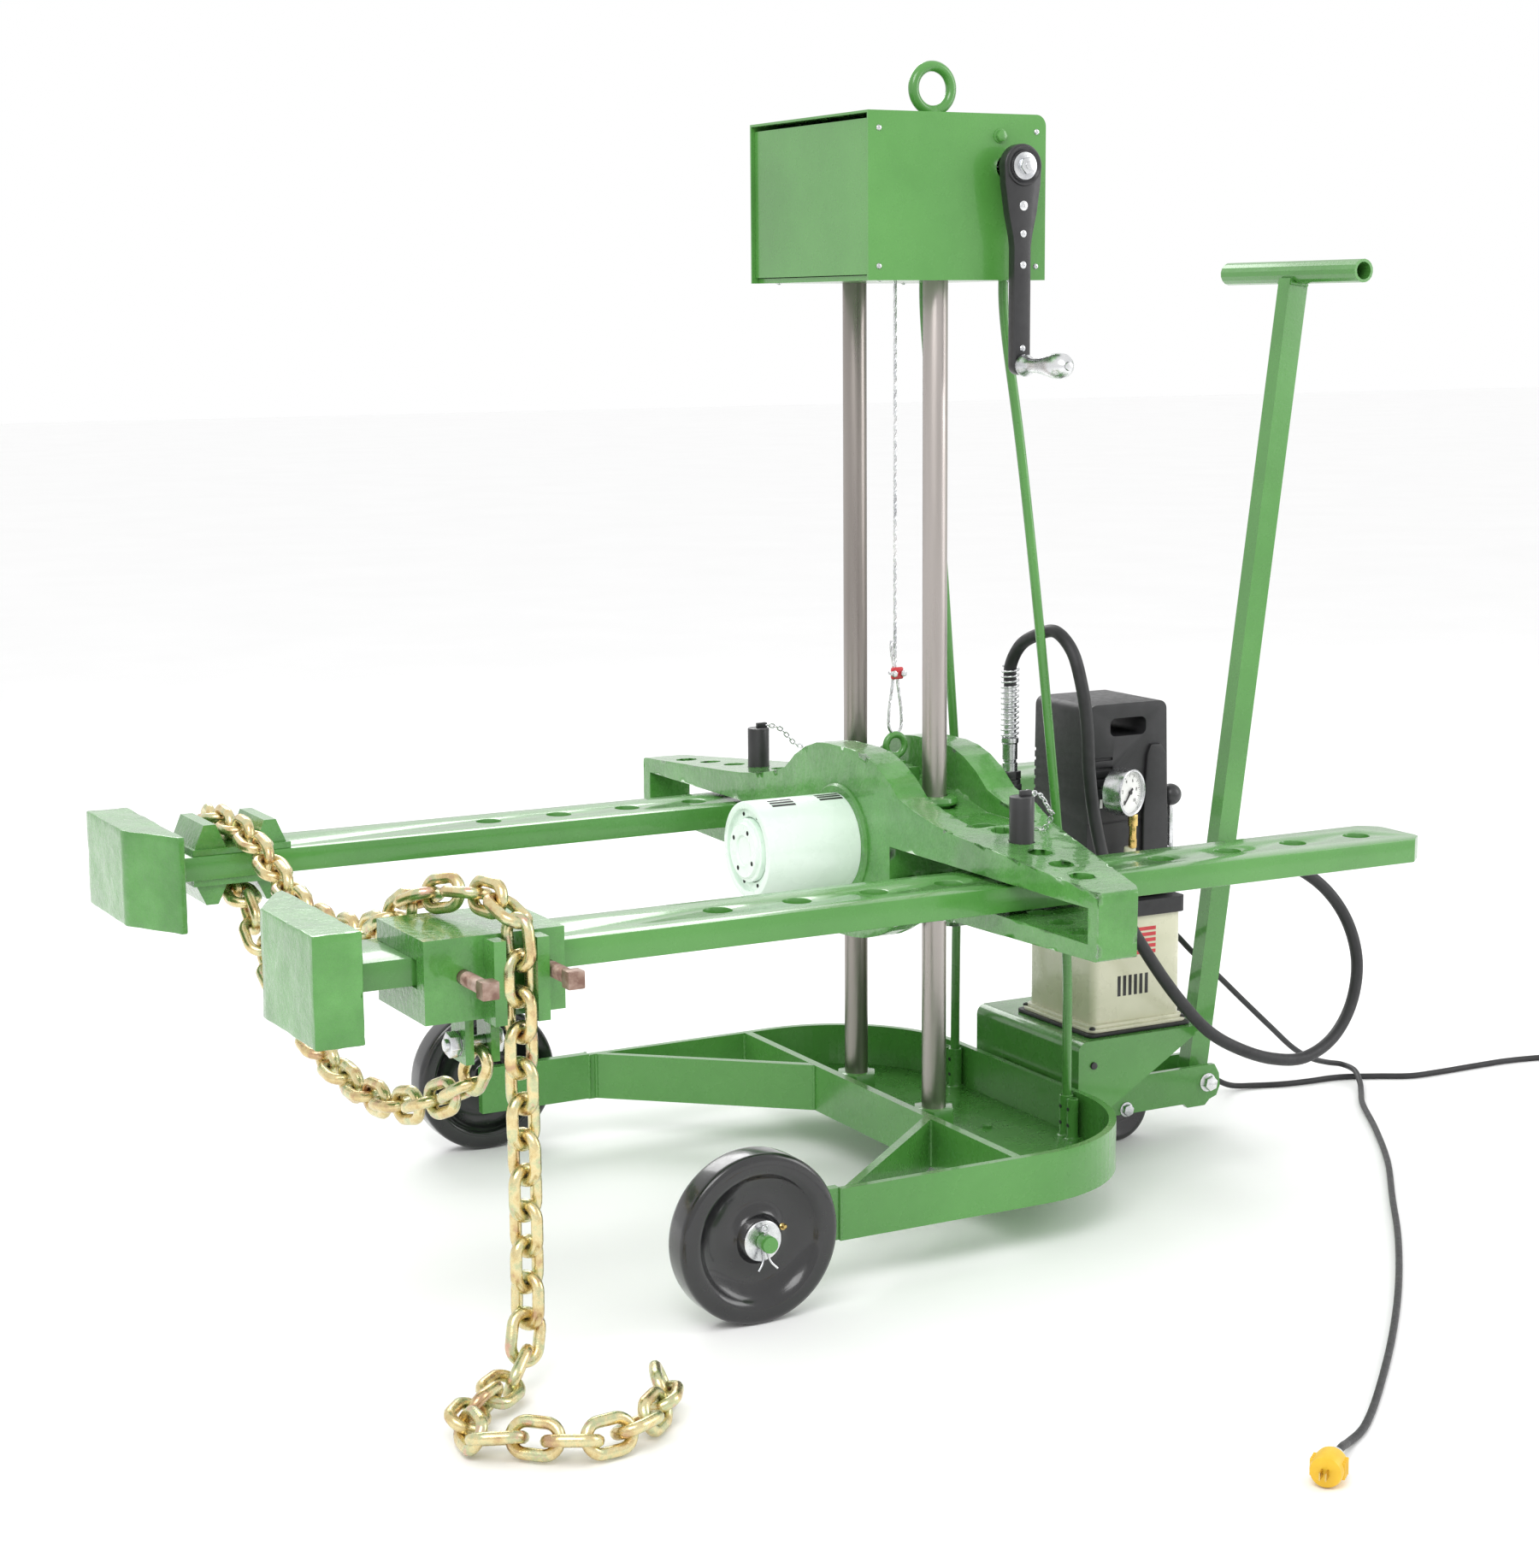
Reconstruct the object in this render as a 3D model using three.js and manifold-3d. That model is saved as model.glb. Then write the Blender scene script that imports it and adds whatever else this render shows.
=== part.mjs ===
// Wheeled bead breaker: a cart with two guide columns, a winch head, a cast yoke that slides on the
// columns, a hydraulic ram, two pinned pull bars with jaw pads tied by a chain, and an electric pump.
// Millimetres, +Z up. X runs along the bars: -X is the jaw end, +X the tow handle. -Y is the near side.
// Sizes are set out from the floor, midway between the two columns. The whole is then moved along X, so that
// the origin is on the floor under the middle of the machine.
import * as THREE from 'three';
import { mergeVertices } from 'three/addons/utils/BufferGeometryUtils.js';
import Module from 'manifold-3d';

const wasm = await Module();
wasm.setup();

// ---- driving dimensions ----
const GAP = 0.3; // working gap between touching parts

const FRAME_LOW = 60; // underside of the flat-bar base
const FRAME_TOP = 124;
const FRAME_SIDE = 363; // outer face of the side rails
const RAIL_FRONT = -290;
const RAIL_REAR = 204;
const RAIL_BEND = 200; // outer radius of the rear bends
const BAR_STOCK = 9.5; // thickness of the flat bar that the base is bent from
const BEAM_X = -41; // front face of the cross beam
const BEAM_THICK = 12;
const BRACE_HUB_Y = 146;
const FLOOR_PLATE = 6;

const WHEEL_R = 101.6;
const WHEEL_X = -429;
const WHEEL_FACE = 425; // outer face of the tyre
const WHEEL_WIDTH = 42;
const AXLE_R = 9.5;

const COLUMN_R = 15.875;
const COLUMN_Y = 101.6;
const NUT_FLATS = 50.8;
const NUT_TOP = 121;

const STAY_R = 6.35;
const STAY_FOOT = [184, 140];
const STAY_HEAD = [104, 97];
const SOCKET_R = 9.5;

const HEAD_LOW = 1190;
const HEAD_TOP = 1393;
const HEAD_FRONT = -127;
const HEAD_REAR = 130;
const HEAD_SIDE = 152.4;
const SHEET = 3;
const EYE_X = 57;
const EYE_R = 28;
const EYE_ROD = 7;

const DRUM_X = 25;
const DRUM_Z = 1290;
const DRUM_R = 21;
const ROPE_R = 2.4;
const CRANK_X = 73;
const CRANK_Z = 1328;
const CRANK_ARM = 243;
const CRANK_Y = -190; // outer face of the crank lever

const YOKE_FRONT = -83;
const YOKE_REAR = 92;
const YOKE_TIP = 592;
const RAM_Z = 468;
const RAM_R = 63.5;
const RAM_FRONT = -222;
const RAM_REAR = 128;
const HUB_R = 125;
const WINDOW_IN = 128;
const WINDOW_OUT = 570;
const WINDOW_LOW = 438;
const WINDOW_TOP = 480;
const PIN_R = 15.875;
const PIN_X = -22;
const PIN_Y = 340;
const PIN_TOP = 571;
const HOLE_R = 17;

const BAR_LOW = 443;
const BAR_THICK = 31;
const BAR_WIDTH = 114.3;
const BAR_FRONT = -905;
const BAR_REAR = 570;
const HOLE_PITCH = 104;
const PAD_FRONT = -960;
const PAD_IN = 187;
const PAD_OUT = 441;
const PAD_LOW = 397;
const PAD_TOP = 519;

const SHELF_X = 212;
const SHELF_TOP = 184;
const SHELF_SIDE = 127;
const SHELF_REAR = 408;
const SHELF_PLATE = 8;

const SWIVEL_X = 272;
const CASTER_X = 354;
const CASTER_R = 50.8;
const HANDLE_X = 494;
const HANDLE_Z = 71;
const HANDLE_TILT = 0.135; // radians back from upright
const HANDLE_LONG = 1132;
const GRIP_R = 15.9;
const GRIP_HALF = 147;

const TANK = { x0: 250, x1: 396, y0: -104, y1: 54, z0: 190, z1: 342 };
const SHROUD = { x0: 252, x1: 378, y0: -86, y1: 44, z0: 364, z1: 632 };
const GAUGE = { x: 293, y: -124, z: 517, turn: 0.38, r: 32 };
const LEVER = { x: 398, y: -70, z: 420 };

const HOSE_R = 8.5;
const CORD_R = 4.25;
const LEAD_R = 4.25;
const CHAIN_R = 14; // the links' reach about the chain's line, as a plain round

const REACH_REAR = HANDLE_X + Math.sin(HANDLE_TILT) * (HANDLE_LONG + 10) + GRIP_R;
const ORIGIN_SHIFT = -(PAD_FRONT + REACH_REAR) / 2;

// ---- finishes ----
const finish = (color, roughness, metalness) =>
  new THREE.MeshStandardMaterial({ color, roughness, metalness });
const GREEN = finish(0x4f9a3f, 0.35, 0.1);
const STEEL = finish(0x6e6862, 0.4, 0.9);
const ZINC = finish(0xc9ccce, 0.3, 0.9);
const BLACK = finish(0x1b1a1b, 0.35, 0.1);
const RUBBER = finish(0x222124, 0.6, 0);
const MINT = finish(0xdfeedf, 0.3, 0);
const CREAM = finish(0xd9d9b4, 0.35, 0);
const GOLD = finish(0xb9a667, 0.35, 0.9);
const YELLOW = finish(0xe2b21c, 0.5, 0);

// ---- solids ----
function toSolid(geometry) {
  const flat = geometry.clone();
  for (const name of Object.keys(flat.attributes)) {
    if (name !== 'position') {
      flat.deleteAttribute(name);
    }
  }
  const merged = mergeVertices(flat, 1e-4);
  return new wasm.Manifold(
    new wasm.Mesh({
      numProp: 3,
      vertProperties: new Float32Array(merged.attributes.position.array),
      triVerts: new Uint32Array(merged.index.array),
    }),
  );
}

function toGeometry(solid) {
  const mesh = solid.getMesh();
  const geometry = new THREE.BufferGeometry();
  geometry.setAttribute('position', new THREE.BufferAttribute(new Float32Array(mesh.vertProperties), 3));
  geometry.setIndex(new THREE.BufferAttribute(new Uint32Array(mesh.triVerts), 1));
  geometry.computeVertexNormals();
  return geometry;
}

const join = (...list) => toGeometry(list.map(toSolid).reduce((a, b) => a.add(b)));

const cut = (body, ...list) => toGeometry(list.map(toSolid).reduce((a, b) => a.subtract(b), toSolid(body)));

const common = (a, b) => toGeometry(toSolid(a).intersect(toSolid(b)));

// A box between two corners.
function block(x0, x1, y0, y1, z0, z1) {
  return new THREE.BoxGeometry(x1 - x0, y1 - y0, z1 - z0).translate((x0 + x1) / 2, (y0 + y1) / 2, (z0 + z1) / 2);
}

// A round bar between two heights, or between two places along X or Y.
function rodZ(x, y, r, z0, z1, sides = 16) {
  return new THREE.CylinderGeometry(r, r, z1 - z0, sides).rotateX(Math.PI / 2).translate(x, y, (z0 + z1) / 2);
}

function rodX(y, z, r, x0, x1, sides = 16) {
  return new THREE.CylinderGeometry(r, r, x1 - x0, sides).rotateZ(Math.PI / 2).translate((x0 + x1) / 2, y, z);
}

function rodY(x, z, r, y0, y1, sides = 16) {
  return new THREE.CylinderGeometry(r, r, y1 - y0, sides).translate(x, (y0 + y1) / 2, z);
}

// Outlines: in plan (x, y) raised along Z, in side view (x, z) pushed along Y, in front view (y, z) along X.
const outline = (points) => new THREE.Shape(points.map(([a, b]) => new THREE.Vector2(a, b)));

function plan(shape, z0, z1, curveSegments = 10) {
  const depth = z1 - z0;
  return new THREE.ExtrudeGeometry(shape, { depth, bevelEnabled: false, curveSegments }).translate(0, 0, z0);
}

function side(shape, y0, y1, curveSegments = 10) {
  const depth = y1 - y0;
  const body = new THREE.ExtrudeGeometry(shape, { depth, bevelEnabled: false, curveSegments });
  return body.rotateX(Math.PI / 2).translate(0, y1, 0);
}

function front(shape, x0, x1, curveSegments = 10) {
  const depth = x1 - x0;
  const body = new THREE.ExtrudeGeometry(shape, { depth, bevelEnabled: false, curveSegments });
  const turn = new THREE.Matrix4().makeBasis(
    new THREE.Vector3(0, 1, 0),
    new THREE.Vector3(0, 0, 1),
    new THREE.Vector3(1, 0, 0),
  );
  return body.applyMatrix4(turn).translate(x0, 0, 0);
}

// A turned piece about +Z: the profile is (radius, height) and closes on the axis or on itself.
function turned(profile, sides = 16) {
  const points = profile.map(([r, h]) => new THREE.Vector2(r, h));
  return new THREE.LatheGeometry(points, sides).rotateX(Math.PI / 2);
}

// A ring of round wire in the XZ plane.
function ring(x, y, z, radius, rod, sides = 18, around = 8) {
  return new THREE.TorusGeometry(radius, rod, around, sides).rotateX(Math.PI / 2).translate(x, y, z);
}

// A round tube along a smooth curve.
function cordAlong(points, r, steps, sides = 8) {
  const curve = new THREE.CatmullRomCurve3(points.map((p) => new THREE.Vector3(...p)));
  const section = outline(
    Array.from({ length: sides }, (_, i) => {
      const turn = (i / sides) * 2 * Math.PI;
      return [r * Math.cos(turn), r * Math.sin(turn)];
    }),
  );
  return new THREE.ExtrudeGeometry(section, { steps, extrudePath: curve, bevelEnabled: false });
}

const machine = new THREE.Group();

function add(name, material, geometry) {
  const mesh = new THREE.Mesh(geometry, material);
  mesh.name = name;
  machine.add(mesh);
}

const SIDES = [
  ['near', -1],
  ['far', 1],
];

// A span in Y given on the far side and mirrored onto the near side.
const span = (s, a, b) => (s > 0 ? [a, b] : [-b, -a]);

// ---- cart base ----
function railOutline(offset) {
  const reach = FRAME_SIDE - offset;
  const bend = RAIL_BEND - offset;
  const turnX = RAIL_REAR - RAIL_BEND;
  const turnY = FRAME_SIDE - RAIL_BEND;
  const shape = new THREE.Shape();
  shape.moveTo(RAIL_FRONT, -reach);
  shape.lineTo(turnX, -reach);
  shape.absarc(turnX, -turnY, bend, -Math.PI / 2, 0, false);
  shape.lineTo(turnX + bend, turnY);
  shape.absarc(turnX, turnY, bend, 0, Math.PI / 2, false);
  shape.lineTo(RAIL_FRONT, reach);
  return shape;
}

function baseRail() {
  const outer = plan(railOutline(0), FRAME_LOW, FRAME_TOP, 12);
  const inner = plan(railOutline(BAR_STOCK), FRAME_LOW - 1, FRAME_TOP + 1, 12);
  const mouth = block(RAIL_FRONT - 1, RAIL_FRONT + 2, BAR_STOCK - FRAME_SIDE, FRAME_SIDE - BAR_STOCK, 50, 140);
  return cut(outer, inner, mouth);
}

function braceOutline(s) {
  const hub = [BEAM_X - GAP, s * BRACE_HUB_Y];
  const end = [RAIL_FRONT + 12, s * (FRAME_SIDE - BAR_STOCK - GAP)];
  return outline(
    s > 0
      ? [hub, [hub[0], hub[1] + 16], [end[0] + 16, end[1]], end]
      : [[hub[0], hub[1] - 16], hub, end, [end[0] + 16, end[1]]],
  );
}

function floorPlate() {
  const shape = railOutline(BAR_STOCK + GAP);
  const sheet = plan(shape, FRAME_LOW, FRAME_LOW + FLOOR_PLATE, 12);
  const ahead = block(RAIL_FRONT - 5, BEAM_X + BEAM_THICK + GAP, -400, 400, 0, 200);
  return cut(sheet, ahead);
}

add('base_rail', GREEN, baseRail());
add(
  'cross_beam',
  GREEN,
  block(
    BEAM_X,
    BEAM_X + BEAM_THICK,
    BAR_STOCK + GAP - FRAME_SIDE,
    FRAME_SIDE - BAR_STOCK - GAP,
    FRAME_LOW,
    FRAME_TOP,
  ),
);

for (const [tag, s] of SIDES) {
  add(`brace_${tag}`, GREEN, plan(braceOutline(s), FRAME_LOW, FRAME_TOP));
  const [y0, y1] = span(s, FRAME_SIDE - 13, FRAME_SIDE);
  const arm = block(WHEEL_X - 24, RAIL_FRONT - GAP, y0, y1, FRAME_LOW + 2, FRAME_TOP + 2);
  const reach = WHEEL_FACE + 22;
  const stub = rodY(WHEEL_X, WHEEL_R, AXLE_R, ...span(s, FRAME_SIDE - 5, reach));
  const shoulder = rodY(WHEEL_X, WHEEL_R, 20, ...span(s, FRAME_SIDE - 1, WHEEL_FACE - WHEEL_WIDTH - 6));
  add(`axle_arm_${tag}`, GREEN, join(arm, stub, shoulder));
  add(
    `column_${tag}`,
    STEEL,
    rodZ(0, s * COLUMN_Y, COLUMN_R, FRAME_LOW + FLOOR_PLATE + GAP, HEAD_LOW + 90, 20),
  );
}

// Hexagon sockets on the floor plate hold the columns.
function columnNut(s) {
  const hex = Array.from({ length: 6 }, (_, i) => {
    const turn = ((i + 0.5) * Math.PI) / 3;
    const reach = NUT_FLATS / 2 / Math.cos(Math.PI / 6);
    return [reach * Math.cos(turn), s * COLUMN_Y + reach * Math.sin(turn)];
  });
  const body = plan(outline(hex), FRAME_LOW + FLOOR_PLATE - 1, NUT_TOP);
  return cut(body, rodZ(0, s * COLUMN_Y, COLUMN_R + GAP, FRAME_LOW + FLOOR_PLATE, 200, 20));
}


// ---- stay rods, and the deck with the column and rod sockets welded on it ----
function staySocket(s) {
  const [x, y] = STAY_FOOT;
  const low = FRAME_LOW + FLOOR_PLATE - 1;
  const spareX = x - 3;
  const spareY = s * (y + 19);
  const tube = rodZ(x, s * y, SOCKET_R, low, NUT_TOP, 12);
  const spare = rodZ(spareX, spareY, SOCKET_R - 2, low, NUT_TOP - 1, 12);
  const web = block(x - 6, x, ...span(s, y, y + 19), low, NUT_TOP - 4);
  const bore = rodZ(x, s * y, STAY_R + 0.6, low + 3, 200, 12);
  return cut(join(tube, spare, web), bore, rodZ(spareX, spareY, 4.5, low + 6, 200, 8));
}

for (const [tag, s] of SIDES) {
  const [fx, fy] = STAY_FOOT;
  const [hx, hy] = STAY_HEAD;
  const route = [
    [hx, s * hy, HEAD_LOW + 12],
    [hx, s * hy, HEAD_LOW - 20],
    [hx + 3, s * (hy + 1), HEAD_LOW - 60],
    [hx + 22, s * (hy + 9), 980],
    [hx + 50, s * (hy + 19), 720],
    [fx - 5, s * (fy - 14), 440],
    [fx, s * (fy - 2), 300],
    [fx, s * fy, 180],
    [fx, s * fy, FRAME_LOW + FLOOR_PLATE + 4],
  ];
  add(`stay_rod_${tag}`, GREEN, cordAlong(route, STAY_R, 20));
}

add('base_deck', GREEN, join(floorPlate(), columnNut(-1), columnNut(1), staySocket(-1), staySocket(1)));

// ---- head box with the winch ----
function headCover() {
  const shell = new THREE.Shape();
  const corner = 14;
  shell.moveTo(-HEAD_SIDE, HEAD_LOW);
  shell.lineTo(HEAD_SIDE, HEAD_LOW);
  shell.lineTo(HEAD_SIDE, HEAD_TOP);
  shell.lineTo(-HEAD_SIDE, HEAD_TOP);
  const body = front(shell, HEAD_FRONT, HEAD_REAR);
  const rounded = new THREE.Shape();
  rounded.moveTo(HEAD_FRONT, HEAD_LOW);
  rounded.lineTo(HEAD_REAR, HEAD_LOW);
  rounded.lineTo(HEAD_REAR, HEAD_TOP - corner);
  rounded.absarc(HEAD_REAR - corner, HEAD_TOP - corner, corner, 0, Math.PI / 2, false);
  rounded.lineTo(HEAD_FRONT, HEAD_TOP);
  const outer = common(body, side(rounded, -HEAD_SIDE, HEAD_SIDE, 6));
  const room = block(
    HEAD_FRONT - 1,
    HEAD_REAR - SHEET,
    SHEET - HEAD_SIDE,
    HEAD_SIDE - SHEET,
    HEAD_LOW - 1,
    HEAD_TOP - SHEET,
  );
  const hole = rodY(CRANK_X, CRANK_Z, 16, -HEAD_SIDE - 2, -HEAD_SIDE + 10);
  return cut(outer, room, hole, rodZ(EYE_X, 0, 8.5, HEAD_TOP - 10, HEAD_TOP + 5));
}

add('head_cover', GREEN, headCover());
add(
  'head_front_panel',
  GREEN,
  block(
    HEAD_FRONT + 5,
    HEAD_FRONT + 8,
    SHEET + GAP - HEAD_SIDE,
    HEAD_SIDE - SHEET - GAP,
    HEAD_LOW + 7,
    HEAD_TOP - 9,
  ),
);

function headDeck() {
  const edge = HEAD_SIDE - SHEET - GAP;
  const plate = block(HEAD_FRONT + 9, HEAD_REAR - SHEET - GAP, -edge, edge, HEAD_LOW, HEAD_LOW + 6);
  const clamps = SIDES.map(([, s]) => rodZ(0, s * COLUMN_Y, 27, HEAD_LOW + 5, HEAD_LOW + 62, 12));
  const cheeks = [-52, 44].map((y) => block(-20, 100, y, y + 6, HEAD_LOW + 5, HEAD_LOW + 165));
  const bridge = block(44, 70, -52, 50, HEAD_LOW + 158, HEAD_TOP - SHEET - GAP);
  const solid = join(plate, ...clamps, ...cheeks, bridge);
  const bores = SIDES.map(([, s]) => rodZ(0, s * COLUMN_Y, COLUMN_R + GAP, HEAD_LOW - 5, HEAD_TOP, 20));
  const heads = SIDES.map(([, s]) => rodZ(STAY_HEAD[0], s * STAY_HEAD[1], STAY_R + 0.8, HEAD_LOW - 5, HEAD_LOW + 10, 12));
  return cut(
    solid,
    ...bores,
    ...heads,
    rodZ(DRUM_X - DRUM_R - ROPE_R, 0, 9, HEAD_LOW - 5, HEAD_LOW + 10),
    rodY(DRUM_X, DRUM_Z, 8.4, -60, 60),
    rodY(CRANK_X, CRANK_Z, 8.4, -60, 60),
    rodZ(EYE_X, 0, 8.4, HEAD_LOW + 150, HEAD_TOP + 5),
  );
}

add('head_deck', GREEN, headDeck());

function liftingEye() {
  const centre = HEAD_TOP + 6 + EYE_R + EYE_ROD;
  const eye = ring(EYE_X, 0, centre, EYE_R, EYE_ROD, 16, 6);
  const foot = turned(
    [
      [0, 0],
      [20, 0],
      [17, 5],
      [11, 10],
      [8, 14],
      [0, 14],
    ],
    20,
  ).translate(EYE_X, 0, HEAD_TOP + GAP);
  return join(eye, foot, rodZ(EYE_X, 0, 8, HEAD_LOW + 154, HEAD_TOP + 2, 20));
}

add('lifting_eye', GREEN, liftingEye());

function winchDrum() {
  const cheeks = [
    [-34, -30],
    [30, 34],
  ].map(([a, b]) => rodY(DRUM_X, DRUM_Z, 38, a, b));
  const gear = rodY(DRUM_X, DRUM_Z, 43.4, -45, -38, 24);
  return join(rodY(DRUM_X, DRUM_Z, DRUM_R, -36, 36), rodY(DRUM_X, DRUM_Z, 8, -51, 51), gear, ...cheeks);
}

add('winch_drum', ZINC, winchDrum());

function crankLever() {
  const arm = new THREE.Shape();
  const wide = 27;
  const slim = 12;
  const foot = CRANK_Z - CRANK_ARM;
  arm.absarc(CRANK_X, CRANK_Z, wide, 0, Math.PI, false);
  arm.lineTo(CRANK_X - wide + 2, CRANK_Z - 30);
  arm.lineTo(CRANK_X - slim, CRANK_Z - 90);
  arm.lineTo(CRANK_X - slim, foot);
  arm.absarc(CRANK_X, foot, slim, Math.PI, 2 * Math.PI, false);
  arm.lineTo(CRANK_X + slim, CRANK_Z - 90);
  arm.lineTo(CRANK_X + wide - 2, CRANK_Z - 30);
  const lever = side(arm, CRANK_Y, CRANK_Y + 16, 8);
  const collar = rodY(CRANK_X, CRANK_Z, 14, CRANK_Y + 14, -HEAD_SIDE - 1);
  const shaft = rodY(CRANK_X, CRANK_Z, 8, CRANK_Y - 8, 51, 20);
  const boss = rodY(CRANK_X, CRANK_Z, 17, CRANK_Y - 5, CRANK_Y + 2);
  const stub = rodY(CRANK_X, foot, 5, CRANK_Y - 104, CRANK_Y + 2, 16);
  const pinion = rodY(CRANK_X, CRANK_Z, 17.2, -45, -38);
  return join(lever, collar, shaft, boss, stub, pinion);
}

add('crank_lever', BLACK, crankLever());

function crankGrip() {
  const shape = [
    [5.4, 1],
    [12, 1],
    [14, 6],
    [10, 14],
    [9, 30],
    [11, 50],
    [16, 72],
    [15, 88],
    [9, 98],
    [5.4, 100],
    [5.4, 1],
  ];
  return turned(shape, 20)
    .rotateX(Math.PI / 2)
    .translate(CRANK_X, CRANK_Y - 1, CRANK_Z - CRANK_ARM);
}

add('crank_grip', ZINC, crankGrip());

// ---- wheels ----
function wheel(s) {
  const half = WHEEL_WIDTH / 2;
  const r = WHEEL_R;
  const profile = [
    [AXLE_R + 0.5, -half],
    [24, -half],
    [26, -half + 8],
    [r - 26, -half + 9],
    [r - 20, -half],
    [r - 4, -half],
    [r, -half + 5],
    [r, half - 5],
    [r - 4, half],
    [r - 20, half],
    [r - 26, half - 9],
    [26, half - 8],
    [24, half],
    [AXLE_R + 0.5, half],
    [AXLE_R + 0.5, -half],
  ];
  return turned(profile, 24)
    .rotateX(Math.PI / 2)
    .translate(WHEEL_X, s * (WHEEL_FACE - half), WHEEL_R);
}

for (const [tag, s] of SIDES) {
  add(`wheel_${tag}`, BLACK, wheel(s));
}

// ---- pump shelf, swivel and tow handle ----
function pumpShelf() {
  const bend = 14;
  const t = SHELF_PLATE;
  const low = FRAME_LOW + 26;
  const shape = new THREE.Shape();
  shape.moveTo(SHELF_X, low);
  shape.lineTo(SHELF_X + t, low);
  shape.lineTo(SHELF_X + t, SHELF_TOP - bend);
  shape.absarc(SHELF_X + bend, SHELF_TOP - bend, bend - t, Math.PI, Math.PI / 2, true);
  shape.lineTo(SHELF_REAR, SHELF_TOP - t);
  shape.lineTo(SHELF_REAR, SHELF_TOP);
  shape.lineTo(SHELF_X + bend, SHELF_TOP);
  shape.absarc(SHELF_X + bend, SHELF_TOP - bend, bend, Math.PI / 2, Math.PI, false);
  const plate = side(shape, -SHELF_SIDE, SHELF_SIDE, 6);
  const gusset = outline([
    [SHELF_X + 4, low],
    [SHELF_X + 50, low],
    [SHELF_REAR - 4, SHELF_TOP - 12],
    [SHELF_REAR - 4, SHELF_TOP - 4],
    [SHELF_X + 4, SHELF_TOP - 6],
  ]);
  const webs = SIDES.map(([, s]) => side(gusset, ...span(s, SHELF_SIDE - 8, SHELF_SIDE)));
  const lugs = SIDES.map(([, s]) => block(RAIL_REAR + GAP, SHELF_X + 2, ...span(s, 60, 110), low + 2, FRAME_TOP - 4));
  const bearing = rodZ(SWIVEL_X, 0, 24, 112, SHELF_TOP - 2);
  const bearingArm = block(SHELF_X + 2, SWIVEL_X, -20, 20, 118, 150);
  return cut(join(plate, ...webs, ...lugs, bearing, bearingArm), rodZ(SWIVEL_X, 0, 12.5, 100, 160));
}

add('pump_shelf', GREEN, pumpShelf());

function tongue() {
  const arm = outline([
    [SWIVEL_X - 26, 52],
    [SWIVEL_X + 20, 44],
    [HANDLE_X - 40, 44],
    [HANDLE_X - 34, 38],
    [HANDLE_X - 4, 38],
    [HANDLE_X + 4, 46],
    [HANDLE_X + 16, 50],
    [HANDLE_X + 22, 64],
    [HANDLE_X + 20, 82],
    [HANDLE_X + 12, 96],
    [SWIVEL_X + 110, 96],
    [SWIVEL_X + 60, 108],
    [SWIVEL_X - 26, 108],
  ]);
  const arms = SIDES.map(([, s]) => side(arm, ...span(s, 30, 38)));
  const top = block(SWIVEL_X - 26, SWIVEL_X + 28, -32, 32, 103, 110);
  const pin = rodZ(SWIVEL_X, 0, 12, 105, 156, 20);
  const axle = rodY(CASTER_X, CASTER_R, 6, -34, 34, 16);
  const bolt = rodY(HANDLE_X, HANDLE_Z, 7, -46, 46, 16);
  return join(...arms, top, pin, axle, bolt);
}

add('tongue', GREEN, tongue());

function casterWheel() {
  const half = 21;
  const r = CASTER_R;
  const profile = [
    [6.6, -half - 4],
    [14, -half - 4],
    [14, -half + 4],
    [r - 14, -half + 4],
    [r - 10, -half],
    [r - 3, -half],
    [r, -half + 4],
    [r, half - 4],
    [r - 3, half],
    [r - 10, half],
    [r - 14, half - 4],
    [14, half - 4],
    [14, half + 4],
    [6.6, half + 4],
    [6.6, -half - 4],
  ];
  return turned(profile, 20)
    .rotateX(Math.PI / 2)
    .translate(CASTER_X, 0, CASTER_R);
}

add('caster_wheel', BLACK, casterWheel());

function towHandle() {
  const bar = block(-16, 16, -12.5, 12.5, -16, HANDLE_LONG);
  const grip = rodY(0, HANDLE_LONG + 10, GRIP_R, -GRIP_HALF, GRIP_HALF);
  const bore = rodY(0, HANDLE_LONG + 10, GRIP_R - 4, -GRIP_HALF - 1, GRIP_HALF + 1);
  const eye = rodY(0, 0, 7.5, -30, 30, 16);
  return cut(join(bar, grip), bore, eye).rotateY(HANDLE_TILT).translate(HANDLE_X, 0, HANDLE_Z);
}

add('tow_handle', GREEN, towHandle());

// ---- electric pump ----
function slab(x0, x1, y0, y1, z0, z1, r) {
  const shape = new THREE.Shape();
  shape.absarc(x1 - r, y1 - r, r, 0, Math.PI / 2, false);
  shape.absarc(x0 + r, y1 - r, r, Math.PI / 2, Math.PI, false);
  shape.absarc(x0 + r, y0 + r, r, Math.PI, 1.5 * Math.PI, false);
  shape.absarc(x1 - r, y0 + r, r, 1.5 * Math.PI, 2 * Math.PI, false);
  return plan(shape, z0, z1, 4);
}

function tank() {
  const t = TANK;
  const body = slab(t.x0, t.x1, t.y0, t.y1, t.z0 + 4, t.z1, 12);
  const feet = slab(t.x0 - 8, t.x1 + 8, t.y0 - 8, t.y1 + 8, t.z0, t.z0 + 5, 14);
  return join(body, feet);
}

function shroud() {
  const s = SHROUD;
  const taper = outline([
    [s.x0 - 4, s.z0],
    [s.x1 + 6, s.z0],
    [s.x1, s.z1 - 8],
    [s.x1 - 8, s.z1],
    [s.x0 + 8, s.z1],
    [s.x0, s.z1 - 8],
  ]);
  const body = side(taper, s.y0, s.y1);
  const grip = block(s.x0 + 34, s.x1 - 34, s.y0 - 5, s.y1 + 5, s.z1 - 44, s.z1 - 20);
  return cut(body, grip);
}

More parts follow.
